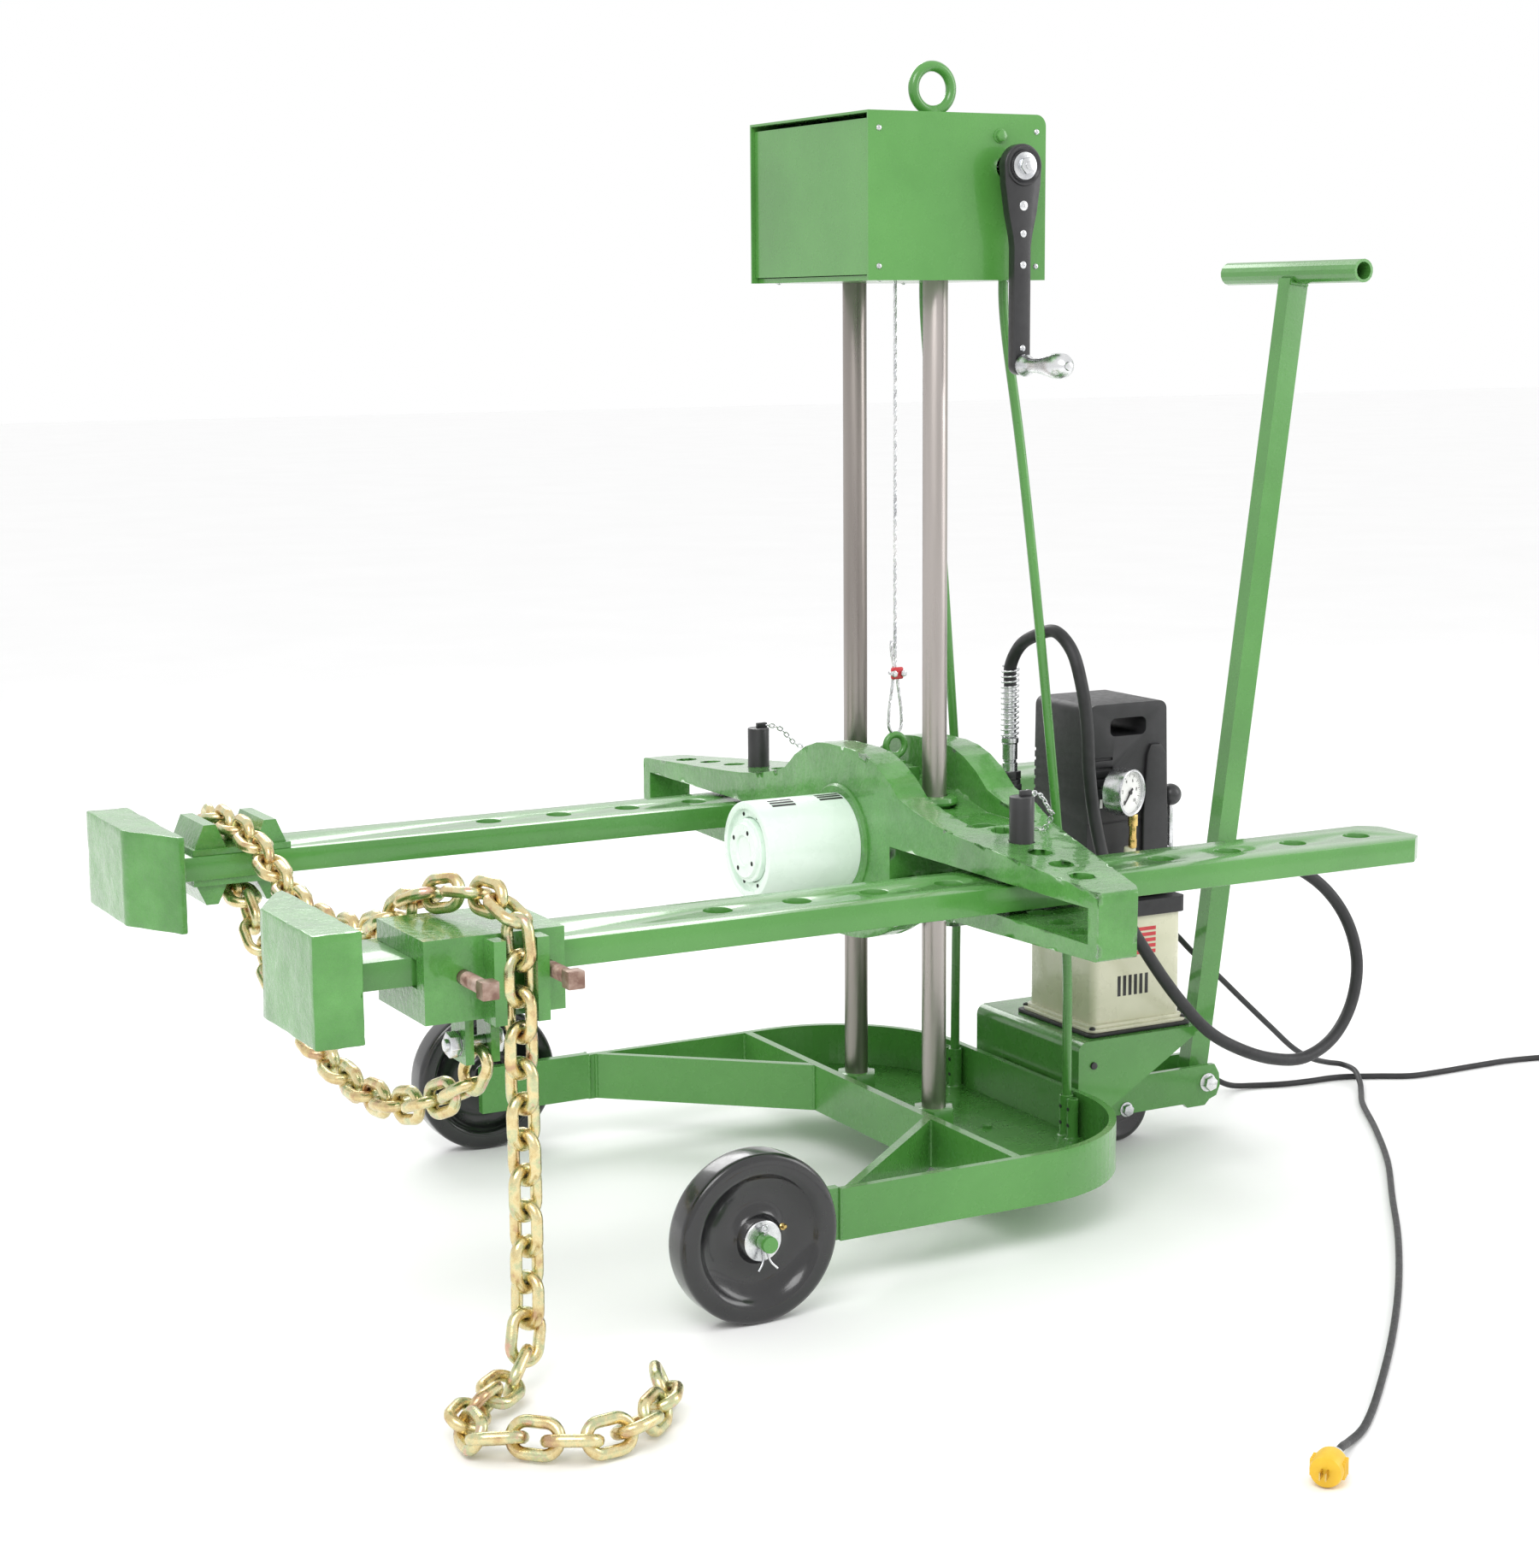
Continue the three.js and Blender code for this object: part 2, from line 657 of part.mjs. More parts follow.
add('pump_tank', CREAM, tank());
add('pump_flange', BLACK, slab(TANK.x0 - 6, TANK.x1 + 4, TANK.y0 - 4, TANK.y1 + 4, TANK.z1 + GAP, SHROUD.z0 - GAP, 10));
add('pump_shroud', BLACK, shroud());

// Turns a piece made about +Z to face the gauge's way: out of the near side and a little to the rear.
function gaugePose(geometry) {
  return geometry
    .rotateX(Math.PI / 2)
    .rotateZ(GAUGE.turn)
    .translate(GAUGE.x, GAUGE.y, GAUGE.z);
}

function gauge() {
  const r = GAUGE.r;
  const can = turned(
    [
      [0, -26],
      [r - 3, -26],
      [r, -22],
      [r, 3],
      [r - 3, 3],
      [r - 3, -2],
      [0, -2],
    ],
    32,
  );
  return gaugePose(join(can, new THREE.BoxGeometry(13, 13, 30).translate(0, 0, -40)));
}

add('gauge', ZINC, cut(gauge(), block(200, 400, SHROUD.y0 - GAP, 60, 400, 640)));

function gaugeNeedle() {
  const hand = outline([
    [-1.6, -7],
    [1.6, -7],
    [0.7, 21],
    [-0.7, 21],
  ]);
  const blade = plan(hand, -0.6, 0.6);
  const zeroTurn = 0.75 * Math.PI;
  return gaugePose(join(blade, rodZ(0, 0, 2.6, -1.2, 1.4, 12)).rotateZ(zeroTurn));
}

add('gauge_needle', BLACK, gaugeNeedle());

function valveLever() {
  const stem = rodZ(LEVER.x, LEVER.y, 4.5, LEVER.z + 2, LEVER.z + 70, 16);
  const hub = rodY(LEVER.x, LEVER.z, 9, LEVER.y - 9, LEVER.y + 9, 20);
  const ball = new THREE.SphereGeometry(15, 12, 8).translate(LEVER.x, LEVER.y, LEVER.z + 78);
  return cut(join(stem, hub, ball), rodY(LEVER.x, LEVER.z, 4.4, LEVER.y - 20, LEVER.y + 20, 16));
}

function valveBlock() {
  const body = block(SHROUD.x1 + 6.6, SHROUD.x1 + 36, -56, 22, SHROUD.z0 - 2, SHROUD.z0 + 62);
  const spindle = rodY(LEVER.x, LEVER.z, 4, LEVER.y - 13, -54, 16);
  const port = rodX(-36, 396, 11, SHROUD.x1 + 34, SHROUD.x1 + 52, 20);
  return join(body, spindle, port);
}

add('valve_block', BLACK, cut(valveBlock(), block(380, 404, -110, 60, 300, SHROUD.z0 + GAP)));
add('valve_lever', BLACK, valveLever());

// ---- yoke casting ----
function yokeProfile() {
  const shape = new THREE.Shape();
  const hubTop = RAM_Z + HUB_R;
  const hubLow = RAM_Z - HUB_R;
  shape.moveTo(YOKE_TIP, 428);
  shape.lineTo(YOKE_TIP, 494);
  shape.quadraticCurveTo(YOKE_TIP, 500, YOKE_TIP - 8, 500);
  shape.lineTo(340, 515);
  shape.quadraticCurveTo(215, 522, 150, 545);
  shape.quadraticCurveTo(95, hubTop, 30, hubTop);
  shape.lineTo(-30, hubTop);
  shape.quadraticCurveTo(-95, hubTop, -150, 545);
  shape.quadraticCurveTo(-215, 522, -340, 515);
  shape.lineTo(8 - YOKE_TIP, 500);
  shape.quadraticCurveTo(-YOKE_TIP, 500, -YOKE_TIP, 494);
  shape.lineTo(-YOKE_TIP, 428);
  shape.quadraticCurveTo(-YOKE_TIP, 420, 8 - YOKE_TIP, 420);
  shape.lineTo(-300, 412);
  shape.quadraticCurveTo(-170, 402, -120, 368);
  shape.quadraticCurveTo(-70, hubLow, 0, hubLow);
  shape.quadraticCurveTo(70, hubLow, 120, 368);
  shape.quadraticCurveTo(170, 402, 300, 412);
  shape.lineTo(YOKE_TIP - 8, 420);
  shape.quadraticCurveTo(YOKE_TIP, 420, YOKE_TIP, 428);
  return shape;
}

function yokePlan() {
  const half = [
    [YOKE_FRONT, YOKE_TIP + 1],
    [-30, YOKE_TIP + 1],
    [-18, YOKE_TIP - 20],
    [55, 321],
    [YOKE_REAR, 200],
  ];
  const mirrored = half.map(([x, y]) => [x, -y]).reverse();
  return outline([...half, ...mirrored].reverse());
}

function armHoles(s) {
  const places = [
    [-6, 232],
    [-14, 286],
    [PIN_X, PIN_Y],
    [-32, 396],
    [-41, 454],
    [-51, 512],
  ];
  return places.map(([x, y]) => rodZ(x, s * y, y === PIN_Y ? HOLE_R : HOLE_R - 1, 350, 640, 8));
}

function yoke() {
  const slice = common(front(yokeProfile(), YOKE_FRONT, YOKE_REAR, 4), plan(yokePlan(), 300, 620));
  const windows = SIDES.map(([, s]) =>
    block(YOKE_FRONT - 5, YOKE_REAR + 5, ...span(s, WINDOW_IN, WINDOW_OUT), WINDOW_LOW, WINDOW_TOP),
  );
  const valleyTop = outline([
    [-400, 660],
    [-260, 516],
    [-150, 516],
    [-70, 535],
    [70, 535],
    [150, 516],
    [260, 516],
    [400, 660],
  ]);
  const valley = front(valleyTop, YOKE_FRONT + 42, YOKE_REAR - 42);
  const below = block(YOKE_FRONT + 38, YOKE_REAR - 38, -260, 260, 330, 396);
  const hollow = cut(slice, ...windows, valley, below);
  const collars = SIDES.map(([, s]) => rodZ(0, s * COLUMN_Y, 26, 388, 530));
  const ridge = block(-24, 26, -22, 22, 530, 560);
  const barrel = rodX(0, RAM_Z, RAM_R + 14, YOKE_FRONT + 2, YOKE_REAR - 2, 24);
  const whole = join(hollow, ...collars, ridge, barrel);
  const bores = SIDES.map(([, s]) => rodZ(0, s * COLUMN_Y, COLUMN_R + 0.6, 300, 700, 20));
  return cut(
    whole,
    ...bores,
    ...SIDES.flatMap(([, s]) => armHoles(s)),
    rodX(0, RAM_Z, RAM_R + GAP, YOKE_FRONT - 5, YOKE_REAR + 5, 24),
    rodZ(2, 0, 7, 540, 600, 16),
  );
}

add('yoke', GREEN, yoke());

const ROPE_X = DRUM_X - DRUM_R - ROPE_R;
const EYEBOLT_Z = 588;

add(
  'yoke_eyebolt',
  GREEN,
  join(
    ring(ROPE_X, 0, EYEBOLT_Z, 14, 4.5, 20, 8),
    rodZ(ROPE_X, 0, 6.5, 541, EYEBOLT_Z - 14, 16),
    rodZ(ROPE_X, 0, 12, 560 + GAP, 568, 6),
  ),
);

add(
  'lift_rope',
  ZINC,
  rodZ(ROPE_X, 0, ROPE_R, 690, DRUM_Z - 1, 8),
);

function ropeClip() {
  const saddle = block(ROPE_X - 9, ROPE_X + 9, -7, 7, 679, 689.7);
  const legs = [-6, 6].map((x) => rodY(ROPE_X + x, 684, 2.6, -16, 12, 10));
  const eye = outline([
    [ROPE_X - 4, 672],
    [ROPE_X - 12, 624],
    [ROPE_X - 11, 606],
    [ROPE_X, 597],
    [ROPE_X + 11, 606],
    [ROPE_X + 12, 624],
    [ROPE_X + 4, 672],
    [ROPE_X + 5, 682],
    [ROPE_X - 5, 682],
  ]);
  const room = outline([
    [ROPE_X - 1, 660],
    [ROPE_X - 7.5, 624],
    [ROPE_X - 6.5, 609],
    [ROPE_X, 603],
    [ROPE_X + 6.5, 609],
    [ROPE_X + 7.5, 624],
    [ROPE_X + 1, 660],
  ]);
  const loop = cut(side(eye, -2.5, 2.5), side(room, -5, 5));
  const through = block(ROPE_X - 16, ROPE_X + 16, -5.2, 5.2, 596, 607);
  return join(cut(loop, through), saddle, ...legs);
}

add('rope_clip', ZINC, ropeClip());

// ---- hydraulic ram ----
add(
  'ram_body',
  MINT,
  cut(
    join(
      rodX(0, RAM_Z, RAM_R, RAM_FRONT, RAM_REAR, 24),
      rodX(0, RAM_Z + 28, 9, RAM_REAR - 2, 163),
      block(158, 192, -27, 7, RAM_Z + 16, RAM_Z + 40),
    ),
    rodX(0, RAM_Z, 42.5, RAM_FRONT - 2, 60, 24),
  ),
);
add('ram_plunger', ZINC, join(rodX(0, RAM_Z, 41.5, RAM_FRONT - 1, 55, 24), rodX(0, RAM_Z, 36, RAM_FRONT - 5, RAM_FRONT, 24)));
add(
  'hose_coupler',
  ZINC,
  join(rodZ(175, -10, 17, RAM_Z + 40 + GAP, 541, 20), rodZ(175, -10, 10.5, 540, 582, 20), rodZ(175, -10, 12, 580, 655, 20)),
);

// ---- pull bars, jaw pads and drop pins ----
function pullBar(s) {
  const half = BAR_WIDTH / 2;
  const y = s * PIN_Y;
  const low = BAR_LOW;
  const top = BAR_LOW + BAR_THICK;
  const shape = new THREE.Shape();
  shape.moveTo(BAR_FRONT, y - half);
  shape.lineTo(BAR_REAR - 22, y - half);
  shape.lineTo(BAR_REAR, y - half + 22);
  shape.lineTo(BAR_REAR, y + half - 22);
  shape.lineTo(BAR_REAR - 22, y + half);
  shape.lineTo(BAR_FRONT, y + half);
  const holes = [];
  for (let k = -4; k <= 5; k += 1) {
    holes.push(rodZ(PIN_X + k * HOLE_PITCH, y, HOLE_R, low - 5, top + 5, 12));
  }
  return cut(plan(shape, low, top), ...holes);
}

function jawPad(s) {
  const rear = BAR_FRONT - GAP;
  const points = [
    [PAD_FRONT, PAD_OUT],
    [rear, PAD_OUT],
    [rear, PAD_IN],
    [PAD_FRONT + 46, PAD_IN],
    [PAD_FRONT, 272],
  ];
  const shape = outline(s > 0 ? points.reverse() : points.map(([x, y]) => [x, -y]));
  return plan(shape, PAD_LOW, PAD_TOP);
}

function dropPin(s) {
  const pin = rodZ(PIN_X, s * PIN_Y, PIN_R - 0.6, 398, PIN_TOP, 16);
  const tab = block(PIN_X - 3, PIN_X + 13, s * PIN_Y - 3, s * PIN_Y + 3, PIN_TOP - 2, PIN_TOP + 7);
  return join(pin, tab);
}

for (const [tag, s] of SIDES) {
  add(`pull_bar_${tag}`, GREEN, pullBar(s));
  add(`jaw_pad_${tag}`, GREEN, jawPad(s));
  add(`drop_pin_${tag}`, BLACK, dropPin(s));
}

// ---- chain saddle on the far bar, chain clamp on the near bar ----
function chainSaddle() {
  const inner = PIN_Y - BAR_WIDTH / 2;
  const outer = PIN_Y + BAR_WIDTH / 2;
  const top = BAR_LOW + BAR_THICK + GAP;
  const low = BAR_LOW - GAP;
  const wing = (x, up) =>
    side(
      outline(
        up
          ? [
              [x - 24, top],
              [x + 24, top],
              [x + 8, top + 38],
              [x - 8, top + 38],
            ]
          : [
              [x - 8, low - 34],
              [x + 8, low - 34],
              [x + 24, low],
              [x - 24, low],
            ],
      ),
      inner + 10,
      outer - 4,
    );
  const band = block(-866, -736, outer + GAP, outer + 12, low - 8, top + 8);
  const upper = block(-866, -736, inner + 4, outer + 12, top, top + 8);
  const lower = block(-866, -736, inner + 4, outer + 12, low - 8, low);
  return join(band, upper, lower, wing(-841, true), wing(-761, true), wing(-841, false), wing(-761, false));
}

add('chain_saddle', GREEN, chainSaddle());

const CLAMP_X0 = -835;
const CLAMP_X1 = -672;
const CLAMP_OUT = -432;
const SCREWS = [-790, -692];
const SLOT_X = -735;

function chainClamp() {
  const inner = -(PIN_Y - BAR_WIDTH / 2);
  const outer = -(PIN_Y + BAR_WIDTH / 2);
  const top = BAR_LOW + BAR_THICK + GAP;
  const low = BAR_LOW - GAP;
  const upper = block(CLAMP_X0, CLAMP_X1, CLAMP_OUT, inner - 10, top, top + 24);
  const lower = block(CLAMP_X0, CLAMP_X1, CLAMP_OUT, inner - 10, low - 36, low);
  const wall = block(CLAMP_X0, CLAMP_X1, CLAMP_OUT, outer - 14, low - 36, top + 24);
  const lugs = [SLOT_X - 32, SLOT_X + 18].map((x) => block(x, x + 14, CLAMP_OUT - 30, CLAMP_OUT + 2, 404, 496));
  const ears = [-782, -752].map((x) => block(x, x + 10, -412, -372, 352, low - 34));
  const bores = SCREWS.map((x) => rodY(x, 455, 8.4, CLAMP_OUT - 40, -380, 16));
  return cut(join(upper, lower, wall, ...lugs, ...ears), ...bores, rodX(-392, 372, 7.4, -800, -730, 16));
}

add('chain_clamp', GREEN, chainClamp());

function clampScrew(x) {
  const shank = rodY(x, 455, 8, CLAMP_OUT - 58, -(PIN_Y + BAR_WIDTH / 2) - GAP, 16);
  const head = block(x - 10, x + 10, CLAMP_OUT - 76, CLAMP_OUT - 57, 445, 465);
  return join(shank, head);
}

SCREWS.forEach((x, i) => add(`clamp_screw_${i + 1}`, STEEL, clampScrew(x)));

add('shackle_bolt', ZINC, join(rodX(-392, 372, 7, -799, -732, 16), rodX(-392, 372, 13, -795, -783, 6), rodX(-392, 372, 13, -741, -733, 6)));

// ---- chain, hose and cords ----
const FALL = [
  [SLOT_X, CLAMP_OUT - 22, 470],
  [SLOT_X, CLAMP_OUT - 22, 420],
  [SLOT_X, CLAMP_OUT - 23, 330],
  [SLOT_X, CLAMP_OUT - 25, 240],
  [SLOT_X - 2, CLAMP_OUT - 30, 150],
  [SLOT_X - 8, CLAMP_OUT - 40, 75],
  [SLOT_X - 28, CLAMP_OUT - 62, 32],
  [-808, -530, 24],
  [-858, -578, 24],
  [-862, -632, 24],
  [-826, -650, 24],
  [-790, -682, 24],
  [-748, -690, 24],
  [-700, -672, 24],
  [-662, -636, 24],
  [-634, -578, 24],
];
add('chain_fall', GOLD, cordAlong(FALL, CHAIN_R, 30));

const CHAIN_LOOP = [
  [SLOT_X, CLAMP_OUT - 22, 490],
  [SLOT_X - 1, CLAMP_OUT - 13, 514],
  [SLOT_X - 8, -408, 530],
  [-760, -340, 528],
  [-782, -286, 514],
  [-796, -240, 486],
  [-800, -190, 462],
  [-802, -120, 446],
  [-804, -30, 440],
  [-804, 60, 448],
  [-802, 150, 470],
  [-801, 220, 490],
  [-801, 275, 500],
  [-801, 340, 500],
  [-801, 400, 502],
  [-801, 431, 488],
  [-801, 438, 458],
  [-801, 431, 429],
  [-801, 400, 414],
  [-801, 340, 417],
  [-801, 284, 414],
  [-801, 220, 366],
  [-802, 120, 312],
  [-803, 20, 282],
  [-802, -80, 264],
  [-799, -180, 262],
  [-790, -260, 272],
  [-778, -330, 296],
  [-766, -374, 318],
  [-762, -390, 334],
];
add('chain_loop', GOLD, cordAlong(CHAIN_LOOP, CHAIN_R, 44));

const HOSE = [
  [175, -10, 655.5],
  [175, -10.5, 682],
  [176, -32, 712],
  [177, -70, 730],
  [180, -110, 738],
  [184, -142, 716],
  [189, -158, 672],
  [194, -164, 620],
  [198, -164, 560],
  [208, -162, 500],
  [228, -160, 430],
  [258, -160, 364],
  [300, -160, 300],
  [350, -160, 236],
  [405, -158, 182],
  [460, -156, 150],
  [520, -152, 128],
  [580, -144, 120],
  [640, -132, 138],
  [684, -118, 180],
  [704, -104, 236],
  [696, -90, 292],
  [666, -76, 340],
  [620, -62, 374],
  [560, -48, 394],
  [500, -38, 398],
  [450, -36, 396],
  [431, -36, 396],
];
add('hose', RUBBER, cordAlong(HOSE, HOSE_R, 48));

function glandAt(y, z) {
  const boot = turned(
    [
      [0, 0],
      [11, 0],
      [11, 6],
      [8, 8],
      [6.2, 34],
      [0, 34],
    ],
    16,
  );
  return boot.rotateY(Math.PI / 2).translate(TANK.x1 + 0.3, y, z);
}

const MAINS_Y = 34;
const MAINS_Z = 296;
const LEAD_Y = 34;
const LEAD_Z = 228;
const ENTRY = block(TANK.x1 + GAP, TANK.x1 + 7, MAINS_Y - 14, MAINS_Y + 14, LEAD_Z - 16, MAINS_Z + 16);
add('cord_entry', BLACK, join(ENTRY, glandAt(MAINS_Y, MAINS_Z), glandAt(LEAD_Y, LEAD_Z)));

const FLOOR_Z = CORD_R + 0.3;
const MAINS = [
  [TANK.x1 + 34.6, MAINS_Y, MAINS_Z],
  [446, MAINS_Y, MAINS_Z],
  [478, 34, 280],
  [518, 34, 243],
  [563, 34, 204],
  [612, 36, 160],
  [668, 42, 112],
  [722, 56, 70],
  [775, 78, 42],
  [820, 94, 26],
  [848, 96, 19],
  [850, 70, 16.5],
  [832, 34, 9],
  [808, 2, FLOOR_Z],
  [770, -46, FLOOR_Z],
  [701, -156, FLOOR_Z],
  [610, -290, FLOOR_Z],
  [510, -417, FLOOR_Z],
  [401, -556, FLOOR_Z],
  [255, -725, FLOOR_Z],
  [98, -888, FLOOR_Z],
  [-34, -1010, FLOOR_Z],
  [-79, -1039, FLOOR_Z + 3],
  [-104, -1059, 15],
  [-128, -1078, 17],
];
add('mains_cord', RUBBER, cordAlong(MAINS, CORD_R, 52));

const PLUG_TURN = Math.atan2(-1117 + 1078, -177 + 128);
add(
  'mains_plug',
  YELLOW,
  join(
    rodX(0, 0, 10, 0.8, 14, 20),
    rodX(0, 0, 17, 12, 46, 24),
    block(44, 58, -3, 3, -6, 6),
  )
    .rotateZ(PLUG_TURN)
    .translate(-128.3, -1078.2, 17.4),
);

const LEAD = [
  [TANK.x1 + 34.6, LEAD_Y, LEAD_Z],
  [446, LEAD_Y, LEAD_Z],
  [476, 44, 206],
  [520, 62, 140],
  [560, 84, 84],
  [604, 104, 36],
  [648, 112, 10],
  [694, 106, FLOOR_Z],
  [735, 92, FLOOR_Z],
  [776, 86, FLOOR_Z],
  [833, 81, FLOOR_Z],
  [884, 58, FLOOR_Z],
  [930, 34, FLOOR_Z],
  [979, 30, FLOOR_Z],
  [1050, 30, FLOOR_Z],
  [1120, 28, FLOOR_Z],
  [1193, 12, FLOOR_Z],
  [1250, -12, FLOOR_Z],
  [1290, -22, FLOOR_Z],
  [1317, -24.5, FLOOR_Z],
];
add('pendant_lead', RUBBER, cordAlong(LEAD, LEAD_R, 36));

const COIL = { x: 1350, y: 30, mid: 46, half: 13, high: 36 };
const COIL_OUT = 54.5; // the outermost turn's radius
const TAIL_X = COIL.x + COIL_OUT;
add(
  'pendant_coil',
  RUBBER,
  turned(
    [
      [COIL.mid - COIL.half, 0.3],
      [COIL.mid + COIL.half, 0.3],
      [COIL.mid + COIL.half, COIL.high],
      [COIL.mid - COIL.half, COIL.high],
      [COIL.mid - COIL.half, 0.3],
    ],
    28,
  ).translate(COIL.x, COIL.y, 0),
);

const TAIL = [
  [TAIL_X, 62, 28.5],
  [TAIL_X, 82, 23],
  [TAIL_X, 106, 16],
  [TAIL_X, 128, 14],
];
add('pendant_tail', RUBBER, cordAlong(TAIL, LEAD_R, 6));

add(
  'pendant_switch',
  BLACK,
  join(block(-17, 17, -13, 13, 0, 96), rodZ(0, 0, 9, -14, 2, 16))
    .rotateX(-Math.PI / 2)
    .translate(TAIL_X, 142.5, 14),
);

machine.position.x = ORIGIN_SHIFT;
const whole = new THREE.Group();
whole.add(machine);

export default whole;
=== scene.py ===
# %% [markdown]
# # A bead breaker on its cart
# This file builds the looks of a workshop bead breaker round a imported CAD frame. The machine is a bent
# flat-bar cart with two steel columns, a box with a hand winch on top, and a cast yoke that the winch lifts.
# The yoke holds a hydraulic ram and two pinned pull bars, whose jaw pads press on a tyre. A chain ties the
# bars, and an electric pump rides behind. Each cell makes one thing, and prints what it made or measured.
#
# The frame gives every CAD sub-part as a Blender object at its true size and place. What is already the
# right shape only gets a material. What needs finer work is replaced by a piece that rides on the same body.

# %% Load the frame
import math

import bmesh
import bpy
from mathutils import Matrix, Vector, noise


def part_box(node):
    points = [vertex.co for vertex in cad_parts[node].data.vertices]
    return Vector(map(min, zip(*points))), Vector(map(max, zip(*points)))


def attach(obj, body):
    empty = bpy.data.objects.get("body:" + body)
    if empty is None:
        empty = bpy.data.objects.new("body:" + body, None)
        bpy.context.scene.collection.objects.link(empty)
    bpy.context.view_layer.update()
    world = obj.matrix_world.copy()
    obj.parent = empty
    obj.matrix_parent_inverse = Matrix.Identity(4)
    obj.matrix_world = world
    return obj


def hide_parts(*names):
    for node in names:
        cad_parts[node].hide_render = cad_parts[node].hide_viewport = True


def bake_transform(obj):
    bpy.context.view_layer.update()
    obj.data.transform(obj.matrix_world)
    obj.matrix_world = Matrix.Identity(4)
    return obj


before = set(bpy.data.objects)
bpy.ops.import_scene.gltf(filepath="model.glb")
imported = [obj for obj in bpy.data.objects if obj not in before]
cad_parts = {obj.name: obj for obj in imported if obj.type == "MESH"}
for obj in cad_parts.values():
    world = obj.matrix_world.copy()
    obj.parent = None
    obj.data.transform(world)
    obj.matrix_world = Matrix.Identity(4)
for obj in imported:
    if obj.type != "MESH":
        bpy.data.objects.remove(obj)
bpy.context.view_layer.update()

# %% [markdown]
# ## Where things are
# The CAD was set out from the floor midway between the two columns, and then moved along X so that its
# origin is under the middle. All sizes below are in millimetres from that first point, which keeps them
# easy to read. One function turns them into the frame's metres. The shift is found from the columns.

# %% Millimetres to the frame
near_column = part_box("column_near")
SHIFT_X = (near_column[0].x + near_column[1].x) / 2


def at(x, y, z):
    """A point set out in millimetres from the columns' foot, as a vector in the frame."""
    return Vector((x / 1000 + SHIFT_X, y / 1000, z / 1000))


print("columns stand at x =", round(SHIFT_X, 4), "m")

# %% [markdown]
# ## Camera
# The machine is seen from some way off with a long lens, so that the arms don't look
# stretched. The camera stands at the near jaw end, a little above the ram, and is placed by two angles:
# how far it is turned round the machine and how far it looks down. A slight roll levels the view.

# %% Set the camera
CAMERA_TURN = math.radians(-28.196)
CAMERA_DROP = math.radians(9.336)
CAMERA_ROLL = math.radians(-0.424)
LENS_MM = 65.17  # for a sensor 36 mm along the longer side

back = Vector(
    (
        math.sin(CAMERA_TURN) * math.cos(CAMERA_DROP), -math.cos(CAMERA_TURN) * math.cos(CAMERA_DROP),
        math.sin(CAMERA_DROP),
    )
)
level = Vector((math.cos(CAMERA_TURN), math.sin(CAMERA_TURN), 0))
upward = back.cross(level)
right = level * math.cos(CAMERA_ROLL) + upward * math.sin(CAMERA_ROLL)
top = upward * math.cos(CAMERA_ROLL) - level * math.sin(CAMERA_ROLL)
lens = bpy.data.cameras.new("camera")
lens.lens = LENS_MM
lens.sensor_width = 36
lens.sensor_fit = "AUTO"
lens.clip_end = 60
camera = bpy.data.objects.new("camera", lens)
bpy.context.scene.collection.objects.link(camera)
facing = Matrix((right, top, back)).transposed().to_4x4()
camera.matrix_world = Matrix.Translation(at(-1895.9, -3187.6, 1146.3)) @ facing
bpy.context.scene.camera = camera
print("camera", [round(v, 3) for v in camera.location])

# %% [markdown]
# ## Mesh helpers
# Almost everything on the machine is turned, pressed, bent or cast, and a few helpers make those shapes as
# real geometry: a lathe for turned pieces, a slab cut from an outline, and a tube swept along a line. Each
# gives its edges a small bevel, because a real edge is never perfectly sharp and catches a line of light.


# %% Put a piece into the scene
def in_scene(name, data):
    """A new object in the scene."""
    thing = bpy.data.objects.new(name, data)
    bpy.context.scene.collection.objects.link(thing)
    return thing


def cover(mesh, material, smooth):
    """One finish all over. Edges under the angle are smooth, and sharper ones stay crisp."""
    mesh.materials.clear()
    mesh.materials.append(material)
    mesh.polygons.foreach_set("material_index", [0] * len(mesh.polygons))
    if smooth is not None:
        mesh.polygons.foreach_set("use_smooth", [True] * len(mesh.polygons))
        mesh.set_sharp_from_angle(angle=math.radians(smooth))


def riding(thing, material, body, smooth=None):
    """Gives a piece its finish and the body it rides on."""
    cover(thing.data, material, smooth)
    if body:
        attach(thing, body)
    return thing


def merge(shapes):
    """One bmesh out of several."""
    whole = bmesh.new()
    for shape in shapes:
        mesh = bpy.data.meshes.new("part")
        shape.to_mesh(mesh)
        whole.from_mesh(mesh)
        bpy.data.meshes.remove(mesh)
        shape.free()
    return whole


def placed(shape, matrix):
    bmesh.ops.transform(shape, matrix=matrix, verts=shape.verts)
    return shape


def joined(name, shapes):
    """One mesh in the frame's metres, from shapes in millimetres about the columns' foot."""
    whole = placed(merge(shapes), Matrix.Translation((SHIFT_X, 0, 0)) @ Matrix.Scale(0.001, 4))
    bmesh.ops.recalc_face_normals(whole, faces=whole.faces)
    mesh = bpy.data.meshes.new(name)
    whole.to_mesh(mesh)
    whole.free()
    return mesh


def finished(name, shapes, material, body, smooth=35):
    """Joins the shapes and puts the result into the scene, riding on its body."""
    return riding(in_scene(name, joined(name, shapes)), material, body, smooth)


# %% Basic solids, all set out in millimetres
def bevelled(shape, width, segments=2, angle=30):
    """Rounds every edge that is sharper than the angle."""
    limit = math.radians(angle)
    edges = [e for e in shape.edges if len(e.link_faces) == 2 and e.calc_face_angle(0) > limit]
    if width > 0 and edges:
        bmesh.ops.bevel(
            shape, geom=edges, offset=width, offset_type="OFFSET", segments=segments, profile=0.5,
            affect="EDGES", clamp_overlap=True,
        )
    return shape


